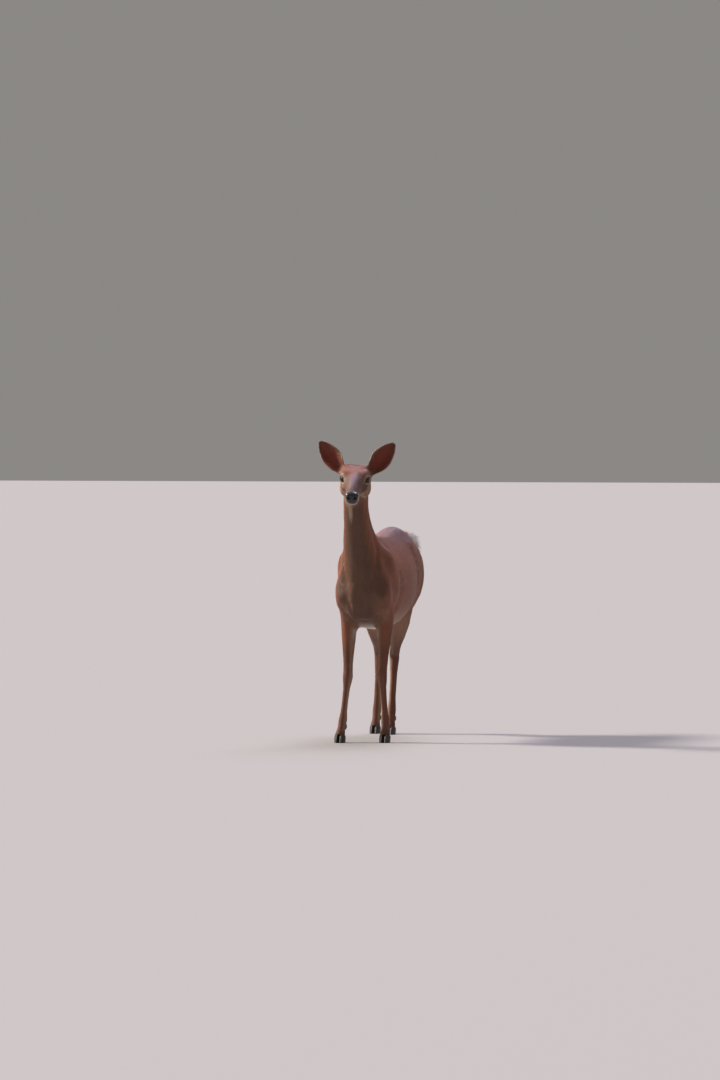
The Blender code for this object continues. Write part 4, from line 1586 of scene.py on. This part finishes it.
@dataclass
class Locks:
    """Many solid tufts in one mesh: each is a root point, one or more three-cornered rings and a tip."""

    roots: Roots
    lie: Array
    size: Array
    stations: tuple[float, ...]
    patch: float
    droop: Array | None = None
    ground: Ground | None = None
    root_depth: float = 0.0008
    flatness: float = 0.42
    combed: float = 0.78
    taper: float = 0.55
    taper_from: float = 0.4

    def points(self) -> tuple[Array, Array]:
        """Works out the vertices.

        Returns:
            Their places, tuft by tuft, and the share of the way from root to tip.
        """
        length, width, rise = self.size.T[:, :, None]
        normals, places = self.roots.normals, self.roots.places
        side = np.cross(normals, self.lie)
        droop = 0 if self.droop is None else self.droop
        rows = [places - normals * self.root_depth]
        along = [0.0]
        for far in self.stations:
            lift = rise * math.sin(far * math.pi / 2) ** 0.8
            middle = places + self.lie * length * far + normals * lift + droop * far**2
            if self.ground:
                middle = self.ground.settle(middle, normals, lift[:, 0])
            half = width / 2 * (1 - self.taper * max(0.0, far - self.taper_from))
            rows += [middle + side * half, middle + normals * half * self.flatness, middle - side * half]
            along += [far] * 3
        tip = places + self.lie * length + normals * rise + droop
        if self.ground:
            tip = self.ground.settle(tip, normals, rise[:, 0])
        rows.append(tip)
        along.append(1.0)
        return np.stack(rows, axis=1), np.array(along)

    def faces(self) -> Array:
        """Lists the corners of one tuft's triangles, facing out."""
        rings = [1 + 3 * number for number in range(len(self.stations))]
        tip = rings[-1] + 3
        found = []
        for k in range(3):
            after = (k + 1) % 3
            found.append((0, rings[0] + after, rings[0] + k))
            found.append((rings[-1] + k, rings[-1] + after, tip))
            for near, far in zip(rings, rings[1:]):
                found.append((near + k, near + after, far + after))
                found.append((near + k, far + after, far + k))
        return np.array(found)

    def mesh(self, shade: Array, random: np.random.Generator) -> bpy.types.Mesh:
        """Makes the mesh with its colours and its unwrap.

        Args:
            shade: How light each tuft is.
            random: The source of chance.

        Returns:
            The mesh.
        """
        points, along = self.points()
        count, each = points.shape[:2]
        faces = (self.faces()[None] + (np.arange(count) * each)[:, None, None]).reshape(-1, 3)
        mesh = bpy.data.meshes.new("tufts")
        mesh.from_pydata(points.reshape(-1, 3), [], faces)
        mesh.polygons.foreach_set("use_smooth", np.ones(len(faces), bool))
        own = read_normals(mesh) * (1 - self.combed)
        skin = np.repeat(self.roots.normals, each, axis=0) * self.combed
        mesh.normals_split_custom_set_from_vertices(own + skin)
        colours = self.roots.colours * shade[:, None]
        write_value(mesh, "Markings", "FLOAT_COLOR", np.repeat(colours, each, axis=0))
        across = np.zeros(each)
        for number in range(len(self.stations)):
            across[1 + 3 * number: 4 + 3 * number] = (-1, 0, 1)
        chance = np.repeat(random.random(count), each)
        strand = np.column_stack([np.tile(along, count), np.tile(across, count), chance])
        write_value(mesh, "Strand", "FLOAT_VECTOR", strand)
        spot = np.column_stack([across, 2 * along - 1]) * self.patch / 2
        flat = (self.roots.flat[:, None] + spot[None]).reshape(-1, 2)
        layer = mesh.uv_layers.new(name="OFBake")
        layer.data.foreach_set("uv", flat[faces.ravel()].astype(np.float32).ravel())
        return mesh


@dataclass
class LongHair:
    """The long hair: the fringe of the tail, the hair in the ears, and the lashes."""

    coat: Coat
    ears: tuple[Ear, ...]
    eyes: tuple[Eye, ...]
    tail: Tail
    hues: Hues
    seed: int = 31
    fringe_hairs: int = 8200
    cup_hairs: int = 620
    lashes_each: int = 30
    fine: float = 0.00045

    def plant(
        self, faces: Array, count: int, where: Array, random: np.random.Generator,
    ) -> tuple[Roots, Array, Array]:
        """Chooses roots among some of the skin's faces.

        Args:
            faces: Which faces.
            count: How many roots.
            where: How thickly the hair stands at each of the skin's vertices.
            random: The source of chance.

        Returns:
            The roots, the skin's vertices round each, and each root's shares of them.
        """
        coat = self.coat
        corners, flat = coat.unwrapped(faces)
        points = coat.surface.points[corners]
        area = np.linalg.norm(np.cross(points[:, 1] - points[:, 0], points[:, 2] - points[:, 0]), axis=1)
        face, inside = scatter(area * where[corners].mean(axis=1), count, random)
        return Roots.on(coat.surface, corners[face], inside, flat[face]), corners[face], inside

    def tail_fringe(self, random: np.random.Generator) -> bpy.types.Mesh:
        """Makes the tail's hair: brown above, and a wide white fringe from its sides and underneath.

        Args:
            random: The source of chance.

        Returns:
            The mesh.
        """
        surface = self.coat.surface
        faces = self.coat.faces_of(Part.TAIL)
        where = np.ones(len(surface.points))
        roots, _, _ = self.plant(faces, self.fringe_hairs, where, random)
        _, ahead, along, above = self.tail.frames(roots.places)
        across = np.cross(ahead, above)
        top = ramp((roots.normals * above).sum(axis=1), 0.35, 0.75)
        side = (roots.normals * across).sum(axis=1)
        white = 1 - top
        lean = 0.62 * white * side * ramp(along, 0.05, 0.35)
        lie = unit(ahead + across * lean[:, None] - above * (0.22 * white)[:, None])
        burst = 0.09 + 0.24 * white * ramp(along, 0.60, 0.20)
        lie = unit(lie + random.normal(0, 1, lie.shape) * burst[:, None])
        taper = 1 - 0.45 * ramp(along, 0.72, 1.0)
        length = (0.026 + 0.026 * ramp(along, 0.0, 0.35) * white + 0.012 * top) * taper
        length *= random.uniform(0.65, 1.25, len(length))
        width = 0.0013 + 0.0006 * white
        rise = 0.003 + 0.004 * white
        size = np.column_stack([length, width, rise])
        upper = np.tile(self.hues.rust, (len(top), 1))
        upper = mixed(upper, self.hues.dark, 0.7 * ramp(along, 0.35, 0.9))
        roots.colours = mixed(np.tile(self.hues.white, (len(top), 1)), upper, top * ramp(along, 1.0, 0.90))
        droop = np.column_stack([0 * length, 0 * length, -0.10 * length])
        locks = Locks(roots, lie, size, (0.25, 0.65), self.coat.patch, droop)
        return locks.mesh(random.uniform(0.86, 1.08, len(lie)), random)

    def ear_hair(self, ear: Ear, part: Part, random: np.random.Generator) -> bpy.types.Mesh:
        """Makes the soft hair that stands in the cup of an ear.

        Args:
            ear: The ear.
            part: Its part of the skin.
            random: The source of chance.

        Returns:
            The mesh.
        """
        surface = self.coat.surface
        along, across, inside = ear.measure(surface.points, surface.normals)
        rim = ramp(np.abs(across), 0.45, 0.75) * ramp(along, 0.82, 0.60)
        where = inside * (0.10 * ramp(along, 0.75, 0.55) + rim) * surface.shares[part]
        roots, corners, shares = self.plant(self.coat.faces_of(part), self.cup_hairs, where, random)
        turn = (across[corners] * shares).sum(axis=1)
        far = (along[corners] * shares).sum(axis=1)
        own = np.column_stack([-0.75 * np.sign(turn), np.full(len(turn), -0.15), 0.55 + 0.3 * far])
        own += random.normal(0, 0.20, own.shape)
        lie = unit(ear.aim(own))
        length = 0.015 * (1 - 0.35 * far) * random.uniform(0.6, 1.2, len(turn))
        size = np.column_stack([length, np.full(len(turn), self.fine), np.full(len(turn), 0.0030)])
        rim = ramp(np.abs(turn), 0.86, 0.97)
        roots.colours = mixed(np.tile(self.hues.rust, (len(turn), 1)), self.hues.cream, 0.45 * rim)
        locks = Locks(roots, lie, size, (0.3, 0.7), self.coat.patch)
        return locks.mesh(random.uniform(0.75, 1.05, len(turn)), random)

    def lashes(self, random: np.random.Generator) -> bpy.types.Mesh:
        """Makes the lashes of both upper lids.

        Args:
            random: The source of chance.

        Returns:
            The mesh.
        """
        places, ways, ups = [], [], []
        for eye in self.eyes:
            for angle in np.radians(np.linspace(22, 158, self.lashes_each)):
                guess = np.array([[math.cos(angle) * 0.011, math.sin(angle) * 0.010, 0.0]])
                guess[:, :2] *= 1.06 / eye.ring(guess)
                guess[:, 2] = eye.dome(guess) + 0.0012
                spread = math.cos(angle)
                places.append(eye.leave(guess)[0])
                ways.append(np.array([0.55 * spread, 0.10, 1.0]) @ eye.axes())
                ups.append(eye.axes()[1])
        places, ways, ups = np.array(places), unit(np.array(ways)), np.array(ups)
        count = len(places)
        ways = unit(ways + random.normal(0, 0.07, ways.shape))
        flat = np.column_stack([np.linspace(0.05, 0.95, count), np.full(count, 0.5)])
        roots = Roots(places, ups, np.tile(self.hues.black, (count, 1)), flat)
        size = np.column_stack([
            random.uniform(0.0065, 0.0095, count), np.full(count, self.fine), np.full(count, -0.0012),
        ])
        locks = Locks(roots, tangent(ways, ups), size, (0.3, 0.7), self.coat.patch, ups * 0.0012)
        return locks.mesh(np.ones(count), random)

    def build(self, material: bpy.types.Material) -> list[bpy.types.Object]:
        """Makes all the long hair.

        Args:
            material: What the hair is made of.

        Returns:
            Its pieces.
        """
        random = np.random.default_rng(self.seed)
        made = [place_object("tail_hair", self.tail_fringe(random))]
        for ear, part in zip(self.ears, EARS):
            made.append(place_object(f"hair_in_{part.value}", self.ear_hair(ear, part, random)))
        made.append(place_object("lashes", self.lashes(random)))
        for piece in made:
            piece.data.materials.append(material)
        return made


# -------------------------------------------------------------------------------- eyes and claws


@dataclass
class Eyeball:
    """The ball of one eye, with a rounder cornea over the iris."""

    name: str
    eye: Eye
    bulge: float = 0.0007

    def build(self, material: bpy.types.Material) -> bpy.types.Object:
        """Makes the ball.

        Args:
            material: What it is made of.

        Returns:
            The piece.
        """
        bm = bmesh.new()
        bmesh.ops.create_uvsphere(bm, u_segments=48, v_segments=32, radius=self.eye.radius)
        mesh = bpy.data.meshes.new(self.name)
        bm.to_mesh(mesh)
        bm.free()
        local = read_points(mesh)
        gaze = local / self.eye.radius
        off = np.linalg.norm(gaze[:, :2], axis=1)
        swell = self.bulge * ramp(off, 0.80, 0.40) * (gaze[:, 2] > 0)
        local = local * (1 + swell / self.eye.radius)[:, None]
        write_value(mesh, "Gaze", "FLOAT_VECTOR", gaze)
        write_points(mesh, self.eye.leave(local))
        if np.linalg.det(self.eye.axes()) < 0:
            mesh.flip_normals()
        for polygon in mesh.polygons:
            polygon.use_smooth = True
        made = place_object(f"ball_{self.name}", mesh)
        mesh.materials.append(material)
        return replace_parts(made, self.name)


@dataclass
class Claw:
    """One claw or dewclaw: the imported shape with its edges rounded."""

    node: str
    edge: float = 0.0011
    corner: float = math.radians(38)

    def build(self, material: bpy.types.Material) -> bpy.types.Object:
        """Makes the claw.

        Args:
            material: What it is made of.

        Returns:
            The piece.
        """
        bm = clean_copy(self.node)
        sharp = [edge for edge in bm.edges if edge.is_manifold and edge.calc_face_angle() > self.corner]
        bmesh.ops.bevel(
            bm, geom=sharp, affect="EDGES", offset=self.edge, segments=3, profile=0.5, material=-1,
            clamp_overlap=True,
        )
        bmesh.ops.triangulate(bm, faces=bm.faces)
        for face in bm.faces:
            face.smooth = True
        mesh = bpy.data.meshes.new(self.node)
        bm.to_mesh(mesh)
        bm.free()
        made = place_object(f"horn_of_{self.node}", mesh)
        mesh.materials.append(material)
        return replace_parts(made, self.node)


# -------------------------------------------------------------------------------- materials


@dataclass(frozen=True)
class Finish:
    """How one kind of surface takes the light."""

    name: str
    roughness: float
    specular: float = 0.5
    sheen: float = 0.0
    coat: float = 0.0
    coat_roughness: float = 0.08


HAIR = Finish("hair", 0.55, 0.35, 0.10)
HIDE = Finish("hide under the hair", 0.72, 0.30, 0.10)
HORN = Finish("horn", 0.42)
EYE = Finish("eye", 0.25, 0.12, coat=0.42, coat_roughness=0.02)
FLOOR = Finish("floor", 0.85, 0.25)
SHEEN_ROUGHNESS = 0.4
BARE_ROUGHNESS = 0.42
NOSE_SHINE = 0.60
BARE_SKIN = (0.014, 0.012, 0.012, 1)
HORN_DARK = (0.020, 0.016, 0.014, 1)
HORN_LIGHT = (0.070, 0.054, 0.044, 1)
PUPIL = (0.0015, 0.0015, 0.0022, 1)
PUPIL_SHAPE = (0.44, 0.25)
IRIS_DARK = (0.010, 0.0045, 0.0022, 1)
IRIS_LIGHT = (0.050, 0.022, 0.010, 1)
IRIS_RIM = (0.006, 0.004, 0.004, 1)
EYE_WHITE = (0.10, 0.075, 0.065, 1)
FLOOR_GREY = (0.34, 0.33, 0.32, 1)
AIR = (0.92, 0.88, 0.85, 1)
AIR_STRENGTH = 0.28


class Tree:
    """The nodes of one material or of one shared group."""

    def __init__(self, tree: bpy.types.NodeTree) -> None:
        """Keeps the tree."""
        self.tree = tree

    def add(self, kind: str, sockets: dict | None = None, **settings: object) -> bpy.types.Node:
        """Adds one node.

        Args:
            kind: The node's type.
            sockets: A value for each named or numbered input, or the output that feeds it.
            **settings: The node's own settings.

        Returns:
            The node.
        """
        node = self.tree.nodes.new(kind)
        for name, value in settings.items():
            setattr(node, name, value)
        for key, value in (sockets or {}).items():
            if isinstance(value, bpy.types.NodeSocket):
                self.tree.links.new(value, node.inputs[key])
            else:
                node.inputs[key].default_value = value
        return node

    def math(self, operation: str, first: object, second: object = 0.0) -> bpy.types.NodeSocket:
        """Adds one sum and returns its result."""
        return self.add("ShaderNodeMath", {0: first, 1: second}, operation=operation).outputs[0]

    def scaled(self, colour: object, amount: object) -> bpy.types.NodeSocket:
        """Makes a colour lighter or darker."""
        return self.add("ShaderNodeVectorMath", {0: colour, "Scale": amount}, operation="SCALE").outputs[0]

    def blend(self, share: object, first: object, second: object) -> bpy.types.NodeSocket:
        """Blends two colours."""
        return self.add("ShaderNodeMix", {0: share, 6: first, 7: second}, data_type="RGBA").outputs[2]

    def ranged(
        self, value: object, low: float, high: float, start: float = 0.0, end: float = 1.0,
    ) -> bpy.types.NodeSocket:
        """Maps low..high to start..end and holds the ends."""
        return self.add("ShaderNodeMapRange", {0: value, 1: low, 2: high, 3: start, 4: end}).outputs[0]

    def stretched(self, place: object, stretch: Triple) -> bpy.types.NodeSocket:
        """Multiplies a place by one number for each axis."""
        return self.add("ShaderNodeVectorMath", {0: place, 1: stretch}, operation="MULTIPLY").outputs[0]

    def length(self, vector: object) -> bpy.types.NodeSocket:
        """Measures how long a vector is."""
        return self.add("ShaderNodeVectorMath", {0: vector}, operation="LENGTH").outputs["Value"]

    def stored(self, name: str, output: str) -> bpy.types.NodeSocket:
        """Reads what write_value stored on the mesh."""
        return self.add("ShaderNodeAttribute", attribute_name=name).outputs[output]

    def bump(self, height: object, strength: float, distance: float) -> bpy.types.NodeSocket:
        """Turns heights into bent normals."""
        sockets = {"Height": height, "Strength": strength, "Distance": distance}
        return self.add("ShaderNodeBump", sockets).outputs[0]

    def grain(self, scale: float, stretch: Triple, detail: float) -> bpy.types.NodeSocket:
        """Adds noise in the object's own space.

        Args:
            scale: How fine it is.
            stretch: How much each axis is squeezed.
            detail: How many finer layers it has.

        Returns:
            Its strength, from 0 to 1.
        """
        place = self.stretched(self.add("ShaderNodeTexCoord").outputs["Object"], stretch)
        noise = self.add("ShaderNodeTexNoise", {"Vector": place, "Scale": scale, "Detail": detail})
        return noise.outputs[0]


def tone_group() -> bpy.types.NodeTree:
    """Makes the effect that skin and hair share: their markings, with the painted shade and sky reflection
    among them, and the unevenness of a real coat.

    Returns:
        The group.
    """
    group = bpy.data.node_groups.new("coat tone", "ShaderNodeTree")
    group.interface.new_socket("Along", in_out="INPUT", socket_type="NodeSocketFloat")
    group.interface.new_socket("Colour", in_out="OUTPUT", socket_type="NodeSocketColor")
    group.interface.new_socket("Height", in_out="OUTPUT", socket_type="NodeSocketFloat")
    tree = Tree(group)
    start = tree.add("NodeGroupInput")
    colour = tree.stored("Markings", "Color")
    broad = tree.ranged(tree.grain(7, (1, 1, 1), 3), 0.3, 0.7, 0.88, 1.10)
    fine = tree.grain(150, (1.0, 0.5, 0.35), 2)
    spread = tree.ranged(fine, 0.3, 0.7, 0.92, 1.07)
    tip = tree.ranged(start.outputs["Along"], 0.0, 1.0, 0.84, 1.08)
    light = tree.math("MULTIPLY", tree.math("MULTIPLY", broad, spread), tip)
    tree.add("NodeGroupOutput", {"Colour": tree.scaled(colour, light), "Height": fine})
    return group


class Paints:
    """All the materials of the doe and the floor."""

    def __init__(self) -> None:
        """Makes the effects that they share."""
        self.tone = tone_group()

    def start(self, finish: Finish) -> tuple[bpy.types.Material, Tree, bpy.types.Node]:
        """Starts a material.

        Args:
            finish: How it takes the light.

        Returns:
            The material, its nodes and its shader.
        """
        material = bpy.data.materials.new(finish.name)
        material.use_nodes = True
        tree = Tree(material.node_tree)
        shader = material.node_tree.nodes["Principled BSDF"]
        shader.inputs["Roughness"].default_value = finish.roughness
        shader.inputs["Specular IOR Level"].default_value = finish.specular
        shader.inputs["Sheen Weight"].default_value = finish.sheen
        shader.inputs["Sheen Roughness"].default_value = SHEEN_ROUGHNESS
        shader.inputs["Coat Weight"].default_value = finish.coat
        shader.inputs["Coat Roughness"].default_value = finish.coat_roughness
        return material, tree, shader

    def feed(self, tree: Tree, shader: bpy.types.Node, **outputs: bpy.types.NodeSocket) -> None:
        """Joins outputs to the shader's inputs, with _ for a space in their names."""
        for name, output in outputs.items():
            tree.tree.links.new(output, shader.inputs[name.replace("_", " ")])

    def hair(self) -> bpy.types.Material:
        """The tufts: darker at the root than at the tip."""
        material, tree, shader = self.start(HAIR)
        strand = tree.stored("Strand", "Vector")
        along = tree.add("ShaderNodeSeparateXYZ", {0: strand}).outputs["X"]
        place = tree.stretched(strand, (0.5, 2.6, 90.0))
        streaks = tree.add("ShaderNodeTexNoise", {"Vector": place, "Scale": 1.0, "Detail": 1.0}).outputs[0]
        tone = tree.add("ShaderNodeGroup", {"Along": along}, node_tree=self.tone)
        colour = tree.scaled(tone.outputs["Colour"], tree.ranged(streaks, 0.3, 0.7, 0.80, 1.18))
        self.feed(tree, shader, Base_Color=colour, Normal=tree.bump(streaks, 0.35, 0.0004))
        return material

    def hide(self) -> bpy.types.Material:
        """The skin: short hair where it has no tufts, and the bare lids and nose pad."""
        material, tree, shader = self.start(HIDE)
        tone = tree.add("ShaderNodeGroup", {"Along": 0.45}, node_tree=self.tone)
        bare, wet = tree.stored("Bare", "Fac"), tree.stored("Wet", "Fac")
        place = tree.add("ShaderNodeTexCoord").outputs["Object"]
        cells = tree.add("ShaderNodeTexVoronoi", {"Vector": place, "Scale": 620.0}).outputs["Distance"]
        pebble = tree.ranged(cells, 0.0, 0.7, 1.0, 0.0)
        colour = tree.blend(bare, tone.outputs["Colour"], BARE_SKIN)
        height = tree.blend(bare, tone.outputs["Height"], pebble)
        bump = tree.bump(height, 0.5, 0.0006)
        rough = tree.ranged(bare, 0.0, 1.0, HIDE.roughness, BARE_ROUGHNESS)
        shine = tree.ranged(wet, 0.0, 1.0, 0.0, NOSE_SHINE)
        self.feed(tree, shader, Base_Color=colour, Roughness=rough, Coat_Weight=shine, Normal=bump)
        return material

    def horn(self) -> bpy.types.Material:
        """The claws: nearly black, with growth rings that run round them."""
        material, tree, shader = self.start(HORN)
        place = tree.add("ShaderNodeTexCoord").outputs["Object"]
        rings = tree.add("ShaderNodeTexWave", {
            "Vector": place, "Scale": 62.0, "Distortion": 1.6, "Detail": 2.0, "Detail Scale": 2.0,
        }, bands_direction="Z").outputs["Fac"]
        mottle = tree.grain(90, (1, 1, 1), 3)
        colour = tree.blend(mottle, HORN_DARK, HORN_LIGHT)
        height = tree.math("ADD", rings, tree.math("MULTIPLY", mottle, 0.6))
        self.feed(tree, shader, Base_Color=colour, Normal=tree.bump(height, 0.4, 0.0005))
        return material

    def eye(self) -> bpy.types.Material:
        """The eyeball: a deep brown iris with a level, oblong pupil, a dark rim and dull white round it."""
        material, tree, shader = self.start(EYE)
        gaze = tree.stored("Gaze", "Vector")
        slot = tree.length(tree.stretched(gaze, (1 / PUPIL_SHAPE[0], 1 / PUPIL_SHAPE[1], 0)))
        reach = tree.length(tree.stretched(gaze, (1, 1, 0)))
        iris = tree.blend(tree.grain(900, (1, 1, 1), 3), IRIS_DARK, IRIS_LIGHT)
        colour = tree.blend(tree.ranged(slot, 0.85, 1.05), PUPIL, iris)
        colour = tree.blend(tree.ranged(reach, 0.62, 0.74), colour, IRIS_RIM)
        colour = tree.blend(tree.ranged(reach, 0.86, 0.93), colour, EYE_WHITE)
        self.feed(tree, shader, Base_Color=colour)
        return material

    def floor(self) -> bpy.types.Material:
        """The plain grey floor."""
        material, _, shader = self.start(FLOOR)
        shader.inputs["Base Color"].default_value = FLOOR_GREY
        return material


# -------------------------------------------------------------------------------- the stage


@dataclass(frozen=True)
class Lamp:
    """One soft, even light: the way it comes from, how wide it looks in degrees and how strong it is."""

    name: str
    away: Triple
    wide: float
    power: float
    colour: Triple


LAMPS = (
    Lamp("key", (-6.0, 0.3, 4.0), 9, 5.2, (1.0, 0.92, 0.84)),
    Lamp("sky", (0.3, 3.5, 6.0), 36, 2.5, (0.86, 0.80, 1.0)),
)


@dataclass
class Stage:
    """The floor, the lights and the camera, which sees a stretch of this many metres from top to bottom."""

    middle: Vector = Vector((-0.070, 0.015, 0.845))
    azimuth: float = math.radians(10.5)
    elevation: float = math.radians(1.5)
    distance: float = 30.0
    tall: float = 4.596
    sensor: float = 36.0
    sight: float = 200.0
    floor_size: float = 60.0

    def floor(self, material: bpy.types.Material) -> None:
        """Lays the floor."""
        bm = bmesh.new()
        bmesh.ops.create_grid(bm, x_segments=1, y_segments=1, size=self.floor_size)
        mesh = bpy.data.meshes.new("floor")
        bm.to_mesh(mesh)
        bm.free()
        mesh.materials.append(material)
        made = bpy.data.objects.new("floor", mesh)
        bpy.context.scene.collection.objects.link(made)

    def light(self) -> None:
        """Hangs the lamps and colours the air."""
        for lamp in LAMPS:
            data = bpy.data.lights.new(lamp.name, "SUN")
            data.angle = math.radians(lamp.wide)
            data.energy = lamp.power
            data.color = lamp.colour
            made = bpy.data.objects.new(lamp.name, data)
            made.location = self.middle + Vector(lamp.away)
            made.rotation_euler = (-Vector(lamp.away)).to_track_quat("-Z", "Y").to_euler()
            bpy.context.scene.collection.objects.link(made)
        world = bpy.data.worlds.new("air")
        world.use_nodes = True
        air = world.node_tree.nodes["Background"]
        air.inputs["Color"].default_value = AIR
        air.inputs["Strength"].default_value = AIR_STRENGTH
        bpy.context.scene.world = world

    def camera(self) -> None:
        """Sets up the long lens that sees the doe from the front."""
        flat = math.cos(self.elevation)
        back = Vector((
            math.sin(self.azimuth) * flat,
            -math.cos(self.azimuth) * flat,
            math.sin(self.elevation),
        ))
        data = bpy.data.cameras.new("camera")
        data.sensor_fit = "VERTICAL"
        data.sensor_height = self.sensor
        data.lens = data.sensor_height * self.distance / self.tall
        data.clip_end = self.sight
        made = bpy.data.objects.new("camera", data)
        made.location = self.middle + back * self.distance
        made.rotation_euler = (-back).to_track_quat("-Z", "Y").to_euler()
        bpy.context.scene.collection.objects.link(made)
        bpy.context.scene.camera = made
        bpy.context.scene.view_settings.view_transform = "Standard"

    def build(self, material: bpy.types.Material) -> None:
        """Makes the whole stage."""
        self.floor(material)
        self.light()
        self.camera()


# -------------------------------------------------------------------------------- the doe


def main() -> None:
    """Builds the doe and her stage, and reports each piece."""
    logging.basicConfig(level=logging.INFO, format="%(name)s: %(message)s")
    head = Head()
    eyes = tuple(Eye(side, np.array(head.eyes[way]), head) for way, side in SIDES.items())
    ears = (
        Ear(1, Vector((0.054, 0.080, -0.002)), 40, 8, 8, head),
        Ear(-1, Vector((0.054, 0.080, 0.000)), 39, 8, 12, head),
    )
    tail = Tail()
    markings = Markings(head, eyes)
    paints = Paints()
    skin, surface = Skin(head, eyes, ears, tail, markings).build()
    skin.data.materials.append(paints.hide())
    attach(skin, "root")
    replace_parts(skin, *FLESH)
    LOG.info("skin: %d faces", len(skin.data.polygons))
    lay = Lay(surface, head, ears, tail)
    coat = Coat(skin, surface, lay.field(), lay.size())
    hair = paints.hair()
    coat.build(hair)
    LongHair(coat, ears, eyes, tail, markings.hues).build(hair)
    eye_paint, horn = paints.eye(), paints.horn()
    for way, eye in zip(SIDES, eyes):
        Eyeball(f"eye_{way}", eye).build(eye_paint)
    for foot in FEET:
        for toe in TOES:
            Claw(f"claw_{foot}_{toe}").build(horn)
            Claw(f"dewclaw_{foot}_{toe}").build(horn)
    Stage().build(paints.floor())


if __name__ == "__main__":
    main()
